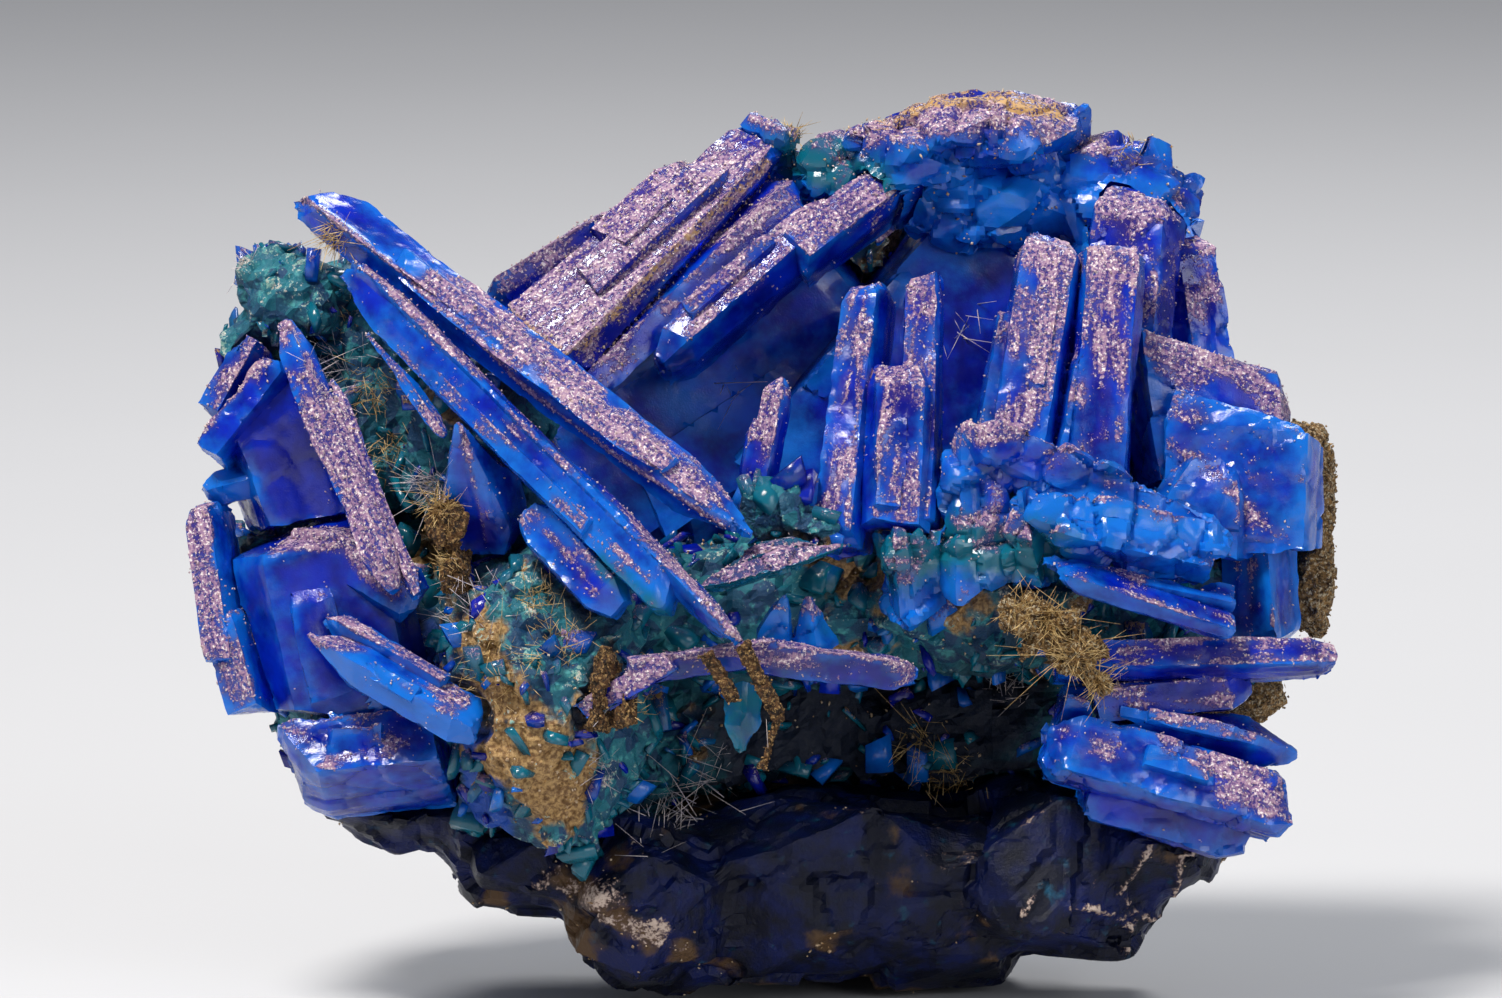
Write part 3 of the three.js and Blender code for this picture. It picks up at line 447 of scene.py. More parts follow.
def drift(points, pitch, seed):
    """Smooth noise from -1 to 1 that changes over about one pitch."""
    scaled = points / pitch
    cell = np.floor(scaled).astype(np.int64)
    part = scaled - cell
    ease = part * part * (3.0 - 2.0 * part)
    total = np.zeros(len(points))
    for corner in itertools.product((0, 1), repeat=3):
        weight = np.prod(np.where(corner, ease, 1.0 - ease), axis=1)
        total += weight * hashed(cell + np.array(corner), seed)
    return 2.0 * total - 1.0


def rough(points, pitch, seed, steps=3):
    """Several sizes of drift added up, each half the size and height of the last."""
    total = np.zeros(len(points))
    for step in range(steps):
        total += drift(points, np.asarray(pitch) / 2**step, seed + step) / 2**step
    return total


def broken(points, pitch, seed):
    """Flat tilted facets, one for each scattered cell, and the nearness of a cell's border."""
    scaled = points / pitch
    cell = np.floor(scaled).astype(np.int64)
    nearest = np.full(len(points), 9.0)
    second = np.full(len(points), 9.0)
    height = np.zeros(len(points))
    for corner in itertools.product((-1, 0, 1), repeat=3):
        other = cell + np.array(corner)
        jitter = np.column_stack([hashed(other, seed + axis) for axis in range(3)])
        away = scaled - other - jitter
        distance = np.einsum("ij,ij->i", away, away)
        slope = np.column_stack([hashed(other, seed + 3 + axis) for axis in range(3)]) - 0.5
        plane = np.einsum("ij,ij->i", away, slope) + hashed(other, seed + 6) - 0.5
        closer = distance < nearest
        second = np.where(closer, nearest, np.minimum(second, distance))
        height = np.where(closer, plane, height)
        nearest = np.where(closer, distance, nearest)
    border = 1.0 - np.clip(np.sqrt(second) - np.sqrt(nearest), 0.0, 1.0)
    return height, border


def turns(rng, count):
    """Random rotation matrices."""
    quat = rng.normal(size=(count, 4))
    quat /= np.linalg.norm(quat, axis=1)[:, None]
    w, x, y, z = quat.T
    rows = (
        1 - 2 * (y * y + z * z), 2 * (x * y - z * w), 2 * (x * z + y * w),
        2 * (x * y + z * w), 1 - 2 * (x * x + z * z), 2 * (y * z - x * w),
        2 * (x * z - y * w), 2 * (y * z + x * w), 1 - 2 * (x * x + y * y),
    )
    return np.stack(rows, axis=1).reshape(count, 3, 3)


def standing(rng, normals, spread):
    """Rotation matrices that stand a shape's z axis near each normal."""
    up = normals + rng.normal(size=normals.shape) * spread
    up /= np.linalg.norm(up, axis=1)[:, None]
    side = np.cross(up, rng.normal(size=normals.shape))
    side /= np.linalg.norm(side, axis=1)[:, None]
    return np.stack((side, np.cross(up, side), up), axis=2)


def mesh_of(name, points, faces):
    """A mesh from millimetre points and faces that all have as many corners."""
    mesh = bpy.data.meshes.new(name)
    corners = len(faces[0])
    mesh.vertices.add(len(points))
    mesh.vertices.foreach_set("co", (np.asarray(points) * MILLI).astype(np.float32).ravel())
    mesh.loops.add(len(faces) * corners)
    mesh.loops.foreach_set("vertex_index", np.asarray(faces, np.int32).ravel())
    mesh.polygons.add(len(faces))
    mesh.polygons.foreach_set("loop_start", np.arange(len(faces), dtype=np.int32) * corners)
    mesh.update(calc_edges=True)
    mesh.validate()
    return mesh


def new_piece(name, points, faces, material):
    """A mesh object from millimetre points, riding on the specimen."""
    mesh = mesh_of(name, points, faces)
    mesh.materials.append(material)
    piece = bpy.data.objects.new(name, mesh)
    bpy.context.scene.collection.objects.link(piece)
    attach(piece, "root")
    return piece


def repeated(shape, faces, places, matrices, sizes):
    """One shape set many times: its points and its faces."""
    count = len(places)
    scaled = shape[None, :, :] * sizes[:, None, :]
    points = np.einsum("nij,nkj->nki", matrices, scaled) + places[:, None, :]
    offset = (np.arange(count) * len(shape))[:, None, None]
    return points.reshape(-1, 3), (np.asarray(faces)[None] + offset).reshape(-1, len(faces[0]))


def fine_copy(node, size, crisp):
    """An evenly divided closed mesh over a CAD node's faces, and its points in millimetres."""
    work = bmesh.new()
    work.from_mesh(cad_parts[node].data)
    bmesh.ops.remove_doubles(work, verts=work.verts, dist=1e-7)
    mesh = bpy.data.meshes.new(node)
    work.to_mesh(mesh)
    work.free()
    piece = bpy.data.objects.new(node + "_surface", mesh)
    bpy.context.scene.collection.objects.link(piece)
    remesh = piece.modifiers.new("divide", "REMESH")
    if crisp:
        low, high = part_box(node)
        cells = max(high - low) / (size * MILLI)
        remesh.mode = "SHARP"
        remesh.octree_depth = math.ceil(math.log2(cells / 0.9))
        remesh.scale = cells / 2**remesh.octree_depth
        remesh.use_remove_disconnected = False
    else:
        remesh.mode = "VOXEL"
        remesh.voxel_size = size * MILLI
    graph = bpy.context.evaluated_depsgraph_get()
    divided = bpy.data.meshes.new_from_object(piece.evaluated_get(graph))
    piece.modifiers.clear()
    piece.data = divided
    bpy.data.meshes.remove(mesh)
    return piece, read(divided.vertices, "co", 3).astype(float) / MILLI


def read(items, field, width, kind=np.float32):
    """One field of every vertex, edge, corner or face: a number or a row for each."""
    values = np.empty(len(items) * width, kind)
    items.foreach_get(field, values)
    return values.reshape(-1, width) if width > 1 else values


def normals_of(mesh):
    """The vertex normals of a mesh."""
    return read(mesh.vertex_normals, "vector", 3).astype(float)


def edges_of(mesh):
    """The vertex pairs of a mesh's edges."""
    return read(mesh.edges, "vertices", 2, np.int32)


def spread_over(values, pairs, rounds):
    """Values averaged with their neighbours a few times."""
    count = np.bincount(pairs.ravel(), minlength=len(values))
    for _ in range(rounds):
        total = np.bincount(pairs[:, 0], values[pairs[:, 1]], len(values))
        total += np.bincount(pairs[:, 1], values[pairs[:, 0]], len(values))
        values = (values + total) / (1 + count)
    return values


def sharpness(points, normals, pairs, size):
    """How strongly the surface bends outwards at each vertex: 1 on a crisp ridge."""
    along = points[pairs[:, 1]] - points[pairs[:, 0]]
    turn = normals[pairs[:, 1]] - normals[pairs[:, 0]]
    bend = np.einsum("ij,ij->i", along, turn) / np.maximum(np.einsum("ij,ij->i", along, along), 1e-6)
    total = np.bincount(pairs.ravel(), np.repeat(bend, 2), len(points))
    count = np.maximum(np.bincount(pairs.ravel(), minlength=len(points)), 1)
    return np.clip(total / count * size * 1.6, -1.0, 1.0)


def seed_of(node):
    """A whole number that is always the same for one node."""
    return sum(ord(letter) for letter in node)


def long_axes(points):
    """The directions of a shape from its longest to its shortest."""
    centred = points - points.mean(0)
    _, vectors = np.linalg.eigh(centred.T @ centred)
    return vectors[:, ::-1]


def all_solids():
    """A ray-casting tree of every CAD node, in millimetres."""
    points = []
    faces = []
    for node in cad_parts.values():
        start = len(points)
        points.extend(vertex.co / MILLI for vertex in node.data.vertices)
        faces.extend([start + index for index in face.vertices] for face in node.data.polygons)
    return BVHTree.FromPolygons(points, faces)


SOLIDS = all_solids()
UPWARD = ((0, 0, 1), (1, 0, 0.9), (-0.5, 0.87, 0.9), (-0.5, -0.87, 0.9))
RAYS = tuple(Vector(ray).normalized() for ray in UPWARD)


def openness(points, normals, reach=5.0, lift=0.4):
    """How much free air each point has over it, from 0 to 1."""
    free = np.empty(len(points))
    for index, (point, normal) in enumerate(zip(points, normals)):
        up = Vector(normal)
        side = up.orthogonal().normalized()
        turned = Matrix((side, up.cross(side), up)).transposed()
        start = Vector(point) + up * lift
        total = 0.0
        for ray in RAYS:
            distance = SOLIDS.ray_cast(start, turned @ ray, reach)[3]
            total += 1.0 if distance is None else distance / reach
        free[index] = total / len(RAYS)
    return free


def mark_weights(node, points, normals):
    """The channels that the marks add to a piece's points, on the faces turned to the viewer."""
    seen = to_seen(points)
    turned = smooth_step(-0.25, 0.15, -normals @ TURN[:, 1])
    added = {channel: np.zeros(len(points)) for channel in (*CHANNELS, "ridge")}
    for channel, amount, width, *corners in MARKS.get(node, ()):
        nearest = np.full(len(points), np.inf)
        for start, end in zip(corners, corners[1:]):
            start = np.array(start, float)
            along = np.array(end, float) - start
            part = np.clip((seen - start) @ along / (along @ along), 0.0, 1.0)
            nearest = np.minimum(nearest, np.linalg.norm(seen - start - part[:, None] * along, axis=1))
        added[channel] += amount * np.exp(-((nearest / width) ** 2)) * turned
    return added


def store(piece, channels):
    """Writes the channels onto the mesh for its material to read."""
    for name, values in channels.items():
        layer = piece.data.attributes.new(name, "FLOAT", "POINT")
        layer.data.foreach_set("value", np.clip(values, 0.0, 1.0).astype(np.float32))


def place(piece, points):
    """Moves the mesh's points, given in millimetres, keeping them in the CAD box."""
    low = np.array(CAD_BOX[0]) / MILLI
    high = np.array(CAD_BOX[1]) / MILLI
    kept = np.clip(points, low, high)
    piece.data.vertices.foreach_set("co", (kept * MILLI).astype(np.float32).ravel())
    piece.data.update()


class Nodes:
    """Builds one material's node tree. Pitches and depths are in millimetres."""

    def __init__(self, name):
        self.material = bpy.data.materials.new(name)
        self.material.use_nodes = True
        self.tree = self.material.node_tree
        self.tree.nodes.clear()
        self.place = self.add("ShaderNodeTexCoord").outputs["Object"]

    def add(self, kind, inputs=None, **settings):
        """One node, with its settings and what goes into it."""
        node = self.tree.nodes.new(kind)
        for key, value in settings.items():
            setattr(node, key, value)
        for key, value in (inputs or {}).items():
            if isinstance(value, bpy.types.NodeSocket):
                self.tree.links.new(value, node.inputs[key])
            else:
                node.inputs[key].default_value = value
        return node

    def channel(self, name, output="Fac"):
        """One stored channel of the mesh."""
        return self.add("ShaderNodeAttribute", attribute_name=name).outputs[output]

    def noise(self, pitch, detail=3.0, roughness=0.6):
        """Cloudy noise whose features are about one pitch across."""
        inputs = {"Vector": self.place, "Scale": 1.0 / (pitch * MILLI)}
        inputs.update(Detail=detail, Roughness=roughness)
        return self.add("ShaderNodeTexNoise", inputs).outputs["Fac"]

    def streaks(self, pitch):
        """Noise drawn out along the crystal, one pitch across."""
        inputs = {"Vector": self.channel("along", "Vector"), "Scale": 1.0 / pitch}
        inputs.update(Detail=3.0, Roughness=0.65)
        return self.add("ShaderNodeTexNoise", inputs).outputs["Fac"]

    def cell_tone(self, pitch):
        """A tone for each of many scattered cells about one pitch across."""
        cells = self.add("ShaderNodeTexVoronoi", {"Vector": self.place, "Scale": 1.0 / (pitch * MILLI)})
        return self.add("ShaderNodeSeparateColor", {0: cells.outputs["Color"]}).outputs[0]

    def math(self, operation, first, second=0.0, clamp=False):
        """Two values joined by one operation."""
        node = self.add("ShaderNodeMath", {0: first, 1: second}, operation=operation, use_clamp=clamp)
        return node.outputs[0]

    def total(self, *shares):
        """Values added up, each times its share."""
        sums = [self.math("MULTIPLY", value, share) for value, share in shares]
        result = sums[0]
        for part in sums[1:]:
            result = self.math("ADD", result, part)
        return result

    def shaken(self, value, pitch, detail, amount=1.0):
        """A value with noise around zero added to it."""
        centred = self.math("SUBTRACT", self.noise(pitch, detail), 0.5)
        return self.math("ADD", value, self.math("MULTIPLY", centred, amount))

    def rise(self, covered, strength, speck, level):
        """How far a cover stands over its speckle: it shows where this is more than 0."""
        cover = self.math("MULTIPLY", covered, strength)
        return self.math("SUBTRACT", cover, self.math("SUBTRACT", speck, level))

    def span(self, value, low, high, to_low=0.0, to_high=1.0):
        """A soft step of a value from low to high."""
        inputs = {"Value": value, "From Min": low, "From Max": high, "To Min": to_low, "To Max": to_high}
        return self.add("ShaderNodeMapRange", inputs, interpolation_type="SMOOTHSTEP").outputs["Result"]

    def mix(self, factor, first, second):
        """Two colours mixed by a factor."""
        tones = [tone if isinstance(tone, bpy.types.NodeSocket) else (*tone, 1.0) for tone in (first, second)]
        return self.add("ShaderNodeMix", {0: factor, 6: tones[0], 7: tones[1]}, data_type="RGBA").outputs[2]

    def bump(self, height, depth, strength=1.0, normal=None):
        """A normal that follows a height, over another normal if one is given."""
        inputs = {"Height": height, "Distance": depth * MILLI, "Strength": strength}
        if normal is not None:
            inputs["Normal"] = normal
        return self.add("ShaderNodeBump", inputs).outputs["Normal"]

    def finish(self, inputs, absorption=None):
        """The shader and, for clear crystal, what it absorbs: the finished material."""
        shader = self.add("ShaderNodeBsdfPrincipled", inputs)
        output = self.add("ShaderNodeOutputMaterial", {"Surface": shader.outputs[0]})
        if absorption is not None:
            inside = {"Color": (*ABSORBED_COLOUR, 1.0), "Density": absorption}
            volume = self.add("ShaderNodeVolumeAbsorption", inside)
            self.tree.links.new(volume.outputs[0], output.inputs["Volume"])
        return self.material


def crystal_material(name, settings):
    """Clear deep blue crystal, azure where it is thin and as painted light where it looks lit, under a
    granular lilac bloom.
    """
    nodes = Nodes(name)
    blue = nodes.mix(nodes.span(nodes.noise(3.5), 0.35, 0.7), settings.deep_colour, settings.blue_colour)
    # The azure channel is partly the lighter blue of thin crystal and partly painted light: lit faces and
    # glowing edges painted azure.
    thin = nodes.shaken(nodes.channel("azure"), 1.1, 4.0, 0.9)
    blue = nodes.mix(nodes.span(thin, 0.05, 0.95), blue, settings.azure_colour)
    green = nodes.shaken(nodes.channel("teal"), 1.7, 3.0, 0.8)
    blue = nodes.mix(nodes.span(green, 0.25, 0.9), blue, settings.teal_colour)
    fine_speck = nodes.noise(0.26, 3.0, 0.7)
    wide_speck = nodes.noise(1.1, 4.0, 0.65)
    speck = nodes.total((nodes.streaks(0.45), 0.3), (fine_speck, 0.5), (wide_speck, 0.2))
    covered = nodes.total((nodes.channel("bloom"), 1.0), (nodes.channel("edge"), 0.4))
    rise = nodes.rise(covered, 0.22, speck, 0.32)
    mask = nodes.span(rise, -0.015, 0.055)
    haze = nodes.span(covered, 0.3, 1.1, 0.0, 0.85)
    frost = nodes.mix(nodes.span(rise, 0.03, 0.23), settings.lilac_colour, settings.cream_colour)
    # Painted glints: random specks of the bloom are painted near-white.
    frost = nodes.mix(nodes.span(nodes.noise(0.2, 2.0, 0.7), 0.52, 0.66), frost, settings.bloom_glint_colour)
    rusty = nodes.math("MULTIPLY", nodes.noise(0.6, 4.0), nodes.math("MULTIPLY", nodes.channel("stain"), 2.2))
    frost = nodes.mix(nodes.span(rusty, 0.35, 0.8), frost, settings.ochre_colour)
    blue = nodes.mix(haze, blue, settings.haze_colour)
    clear = nodes.math("SUBTRACT", 1.0, nodes.math("MAXIMUM", mask, haze), True)
    return nodes.finish(
        {
            "Base Color": nodes.mix(mask, blue, frost),
            "Roughness": nodes.span(mask, 0.0, 1.0, 0.16, 0.62),
            "Transmission Weight": nodes.math("MULTIPLY", clear, settings.clearness),
            "IOR": CRYSTAL_IOR,
            "Normal": nodes.bump(mask, 0.12, 0.7, nodes.bump(nodes.noise(0.12), 0.05, 0.35)),
        },
        settings.absorption,
    )


def crust_material(name):
    """Granular teal and mint crust with cream grains and ochre stains, darkened by painted shade in sheltered
    places.
    """
    nodes = Nodes(name)
    tones = CRUST_TONES
    colour = nodes.mix(nodes.span(nodes.cell_tone(1.3), 0.2, 0.8), tones["deep"], tones["teal"])
    colour = nodes.mix(nodes.span(nodes.noise(0.8, 4.0), 0.52, 0.72), colour, tones["mint"])
    glass = nodes.shaken(nodes.channel("azure"), 2.4, 4.0)
    colour = nodes.mix(nodes.span(glass, 0.25, 0.6), colour, tones["glass"])
    warm = nodes.shaken(nodes.channel("stain"), 1.4, 5.0)
    ochre = nodes.mix(nodes.span(nodes.noise(0.3), 0.35, 0.65), tones["brown"], tones["ochre"])
    colour = nodes.mix(nodes.span(warm, 0.32, 0.6), colour, ochre)
    covered = nodes.math("ADD", nodes.channel("bloom"), nodes.channel("edge"))
    speck = nodes.total((nodes.noise(0.26, 3.0, 0.7), 0.65), (nodes.noise(1.0, 4.0), 0.35))
    mask = nodes.span(nodes.rise(covered, 0.2, speck, 0.33), 0.0, 0.06)
    frost = nodes.mix(nodes.span(nodes.noise(0.5), 0.4, 0.62), tones["frost"], tones["cream"])
    colour = nodes.mix(mask, colour, frost)
    # Painted shade: the crust is darkened where the surface is sheltered and in the cave.
    colour = nodes.mix(nodes.span(nodes.channel("shade"), 0.1, 0.75), colour, tones["shade"])
    return nodes.finish(
        {
            "Base Color": colour,
            "Roughness": nodes.span(nodes.noise(0.7), 0.3, 0.7, 0.28, 0.75),
            "IOR": CRUST_IOR,
            "Normal": nodes.bump(nodes.noise(0.25, 5.0, 0.7), 0.18, 0.8),
        }
    )


def massive_material(name):
    """Dark navy massive crystal with pale frosted ridges, darkened by painted shade in sheltered places."""
    nodes = Nodes(name)
    tones = FOOT_TONES
    colour = nodes.mix(nodes.span(nodes.noise(2.8, 4.0), 0.4, 0.68), tones["deep"], tones["blue"])
    colour = nodes.mix(nodes.span(nodes.noise(1.3, 4.0), 0.6, 0.8), colour, tones["teal"])
    warm = nodes.shaken(nodes.channel("stain"), 1.2, 5.0)
    colour = nodes.mix(nodes.span(warm, 0.3, 0.7), colour, tones["brown"])
    covered = nodes.total((nodes.channel("bloom"), 1.0), (nodes.channel("edge"), 0.5))
    speck = nodes.total((nodes.noise(0.28, 3.0, 0.7), 0.6), (nodes.noise(1.3, 4.0), 0.4))
    rise = nodes.rise(covered, 0.26, speck, 0.3)
    mask = nodes.span(rise, 0.0, 0.06)
    colour = nodes.mix(mask, colour, nodes.mix(nodes.span(rise, 0.02, 0.14), tones["frost"], tones["cream"]))
    # Painted shade: the foot is darkened where the surface is sheltered and under the overhang.
    colour = nodes.mix(nodes.span(nodes.channel("shade"), 0.2, 0.9), colour, tones["shade"])
    return nodes.finish(
        {
            "Base Color": colour,
            "Roughness": nodes.span(mask, 0.0, 1.0, 0.35, 0.75),
            "Specular IOR Level": 0.22,
            "IOR": CRYSTAL_IOR,
            "Normal": nodes.bump(nodes.noise(0.3, 5.0, 0.7), 0.15, 0.7),
        }
    )


def earthy_material(name, dark, light, pale):
    """Crumbly iron crust: three tones in grains."""
    nodes = Nodes(name)
    colour = nodes.mix(nodes.span(nodes.noise(0.4, 5.0, 0.75), 0.42, 0.58), dark, light)
    colour = nodes.mix(nodes.span(nodes.noise(0.24, 3.0, 0.7), 0.52, 0.62), colour, pale)
    normal = nodes.bump(nodes.noise(0.24, 5.0, 0.75), 0.3)
    return nodes.finish({"Base Color": colour, "Roughness": 0.82, "Normal": normal})


def grain_material(name, first, second, roughness, clearness):
    """Sugary grains, each a little different from the next."""
    nodes = Nodes(name)
    colour = nodes.mix(nodes.cell_tone(0.4), first, second)
    return nodes.finish(
        {"Base Color": colour, "Roughness": roughness, "IOR": CRUST_IOR, "Transmission Weight": clearness}
    )


def material_named(name, make, *values):
    """A material that is made the first time it is asked for."""
    return bpy.data.materials.get(name) or make(name, *values)


def stand_for(piece, node, material):
    """Lets a finished surface stand for its CAD node."""
    piece.data.materials.append(material)
    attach(piece, "root")
    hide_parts(node)


def crystal_height(node, points, local, edge, pairs, ridge, lines, settings):
    """How far growth lines, ledges, chips and breaks move each point of a crystal."""
    seed = seed_of(node)
    lined = rough(local, LINE_PITCH, seed)
    terrace = drift(local, LEDGE_PITCH, seed + 11) * LEDGE_STEPS
    stepped = np.floor(terrace) + smooth_step(0.35, 0.65, terrace - np.floor(terrace))
    warped = drift(points, WARP_PITCH, seed + 17)
    chipped = np.clip(drift(points, CHIP_PITCH, seed + 23), 0.0, 1.0)
    worn = chipped * np.clip(spread_over(edge, pairs, 1), 0.0, 1.0)
    height = lined * settings.line_depth * lines + stepped * settings.ledge_depth * lines
    height += warped * settings.warp_depth - worn * settings.chip_depth + ridge * CRYSTAL_RIDGE
    along = (local[:, 0] - local[:, 0].mean()) / np.ptp(local[:, 0]) * 2.0
    snapped, _ = broken(points, SNAP_PITCH, seed + 47)
    height -= smooth_step(0.8, 1.0, np.abs(along)) * np.clip(snapped + 0.4, 0.0, 1.0) * settings.end_depth
    facet, border = broken(points, FACET_PITCH, seed + 53)
    return height + (facet - 0.3 * smooth_step(0.8, 1.0, border)) * FRACTURED.get(node, PLAIN_FACET)


def grow_crystal(node, row, settings):
    """One crystal's faces, with growth lines, ledges, chipped edges and bloom."""
    bloom, azure, teal, stain, lines, size = row
    piece, points = fine_copy(node, size * settings.mesh_scale, True)
    seed = seed_of(node)
    mesh = piece.data
    pairs = edges_of(mesh)
    normals = normals_of(mesh)
    edge = sharpness(points, normals, pairs, size)
    crisp = np.clip(edge, 0.0, 1.0)
    # Painted glow: crisp edges spread a lighter azure over the faces next to them.
    glow = spread_over(crisp, pairs, 12)
    local = points @ long_axes(points)
    added = mark_weights(node, points, normals)
    height = crystal_height(node, points, local, edge, pairs, added["ridge"], lines, settings)
    free = openness(points, normals)
    points = points + normals * height[:, None]
    streak = drift(local, STREAK_PITCH, seed + 31) * STREAK_SHARE * lines
    patch = rough(points, PATCH_PITCH, seed + 37, 2) * PATCH_SHARE
    sheltered = (1.0 - free) * SHELTER_SHARE
    cover = normals @ BLOOM_SIDE * SIDE_SHARE + bloom + patch + streak + added["bloom"] - sheltered
    cloud = drift(points, 3.0, seed + 41) * 0.25
    spots = np.clip(0.5 + drift(points, 1.5, seed + 43), 0, 1)
    place(piece, points)
    store(
        piece,
        {
            "bloom": smooth_step(0.25, 1.15, cover) + np.clip(added["ridge"], 0, 1),
            # The azure channel: the crystal's tint, noise, and a painted glow near the edges.
            "azure": azure + added["azure"] + cloud + np.clip(glow * 2.0, 0, 0.6) - 0.12,
            "teal": teal + added["teal"],
            "stain": stain + added["stain"],
            "edge": crisp * (0.4 + 0.6 * spots),
        },
    )
    layer = mesh.attributes.new("along", "FLOAT_VECTOR", "POINT")
    layer.data.foreach_set("vector", (local * STREAK_STRETCH).astype(np.float32).ravel())
    mesh.polygons.foreach_set("use_smooth", np.ones(len(mesh.polygons), bool))
    mesh.set_sharp_from_angle(angle=SHARP_ANGLE)
    stand_for(piece, node, material_named("blue_crystal", crystal_material, settings))


def grow_crust(node, row, material):
    """A mass of broken facets and crumbs over a CAD node."""
    depth, lump, size, slot_name = row
    piece, points = fine_copy(node, size, False)
    seed = seed_of(node)
    mesh = piece.data
    pairs = edges_of(mesh)
    normals = normals_of(mesh)
    chunk, border = broken(points, lump, seed)
    crumb, _ = broken(points, lump * 0.4, seed + 9)
    height = chunk * lump * 0.45 + crumb * lump * 0.16 + rough(points, lump * 2.0, seed + 21) * lump * 0.2
    height -= smooth_step(0.75, 1.0, border) * lump * 0.12
    added = mark_weights(node, points, normals)
    height = height * depth + added["ridge"] * CRUST_RIDGE
    free = openness(points, normals)
    moved = points + normals * (height - lump * 0.05)[:, None]
    place(piece, moved)
    fresh = normals_of(mesh)
    cover = fresh @ BLOOM_SIDE * 0.5 + rough(points, 2.2, seed + 31, 2) * 0.35 + added["bloom"]
    store(
        piece,
        {
            "bloom": smooth_step(0.3, 1.2, cover) * free + np.clip(added["ridge"], 0, 1),
            "stain": smooth_step(0.0, 1.2, rough(points, 4.5, seed + 37)) + added["stain"],
            "teal": 0.5 + added["teal"],
            "azure": added["azure"],
            "edge": np.clip(sharpness(moved, fresh, pairs, size), 0.0, 1.0),
            # Painted shade: places with little open air over them are darkened.
            "shade": (1.0 - free) * 0.9 + added["shade"],
        },
    )
    stand_for(piece, node, material)


def colour_setting(name, description, *colour):
    """A colour that a user can change."""
    return FloatVectorProperty(name=name, description=description, subtype="COLOR", default=colour)


def size_setting(name, description, default, **limits):
    """A size or strength that a user can change."""
    return FloatProperty(name=name, description=description, default=default, **{"min": 0.0, **limits})


def count_setting(name, description, default):
    """A number of pieces that a user can change."""
    return IntProperty(name=name, description=description, default=default, min=0)


class ChalcanthiteCrystalSettings(bpy.types.PropertyGroup):
    """Sizes and colours of the crystal faces."""

    deep_colour: colour_setting("Deep Blue", "Colour of the thickest crystal", 0.0004, 0.004, 0.27)
    blue_colour: colour_setting("Blue", "Main colour of the crystals", 0.0008, 0.027, 0.66)
    # Azure is the blue of thin crystal and also painted light on lit faces and edges.
    azure_colour: colour_setting("Azure", "Colour of thin and lit crystal", 0.006, 0.22, 0.90)
    teal_colour: colour_setting("Teal", "Colour of crystal that grades into crust", 0.004, 0.18, 0.27)
    lilac_colour: colour_setting("Lilac", "Darker colour of the bloom", 0.24, 0.12, 0.27)
    cream_colour: colour_setting("Cream", "Lighter colour of the bloom", 0.56, 0.38, 0.37)
    # Sugar is painted glints: the brightest specks of the bloom.
    bloom_glint_colour: colour_setting("Sugar", "Brightest grains of the bloom", 0.90, 0.78, 0.76)
    haze_colour: colour_setting("Haze", "Thin bloom seen over the blue", 0.055, 0.028, 0.17)
    ochre_colour: colour_setting("Ochre", "Rusty stain in the bloom", 0.48, 0.27, 0.09)
    clearness: size_setting("Clearness", "Share of light that passes into clean crystal", 0.35, max=1.0)
    absorption: size_setting("Absorption", "Strength of the blue absorption, per metre", 650.0)
    mesh_scale: size_setting("Mesh Scale", "Factor on every crystal's mesh size", 1.1, min=0.5)
    line_depth: size_setting("Growth Lines", "Depth of the growth lines in mm", 0.05)
    ledge_depth: size_setting("Ledges", "Depth of the growth ledges in mm", 0.06)
    warp_depth: size_setting("Warp", "Depth of the slow unevenness in mm", 0.07)
    end_depth: size_setting("Broken Ends", "Depth of the breaks at the ends in mm", 0.35)
    chip_depth: size_setting("Chips", "Depth of the chips along edges in mm", 0.5)


class ChalcanthiteGrowthSettings(bpy.types.PropertyGroup):
    """Counts and sizes of what grows on the faces."""

    grains: count_setting("Bloom Grains", "Number of bloom grains", 9000)
    grain_size: size_setting("Grain Size", "Mean grain size in mm", 0.14, min=0.01)
    splinters: count_setting("Splinters", "Number of glassy splinters on the crust", 2900)
    splinter_size: size_setting("Splinter Size", "Mean splinter length in mm", 1.4, min=0.1)
    crumbs: count_setting("Crumbs", "Number of ochre crumbs, with half as many rusty ones", 4200)
    needle_width: size_setting("Needle Width", "Width of a needle at its foot in mm", 0.065, min=0.01)


class ChalcanthiteStageSettings(bpy.types.PropertyGroup):
    """Camera, floor and light."""

    camera_distance: size_setting("Camera Distance", "Distance to the specimen", 1.0, unit="LENGTH")
    key_power: size_setting("Key Light", "Strength of the main light in watts", 5.0)
    fill_power: size_setting("Fill Light", "Strength of the fill light in watts", 1.4)
    back_power: size_setting("Back Light", "Strength of the back light in watts", 1.6)
    floor_colour: colour_setting("Floor", "Colour of the floor", 0.58, 0.58, 0.59)


class ChalcanthiteSettings(bpy.types.PropertyGroup):
    """All the values of the specimen."""

    crystals: PointerProperty(type=ChalcanthiteCrystalSettings)
    growth: PointerProperty(type=ChalcanthiteGrowthSettings)
    stage: PointerProperty(type=ChalcanthiteStageSettings)


def grow_group(context, group):
    """Grows every crystal of one group."""
    for node, row in CRYSTALS[group].items():
        grow_crystal(node, row, context.scene.chalcanthite.crystals)
    return {"FINISHED"}


class CHALCANTHITE_OT_left_blades(bpy.types.Operator):
    """Grow the long blades and laths on the left"""

    bl_idname = "chalcanthite.left_blades"
    bl_label = "Left Blades"

    def execute(self, context):
        return grow_group(context, "left_blades")


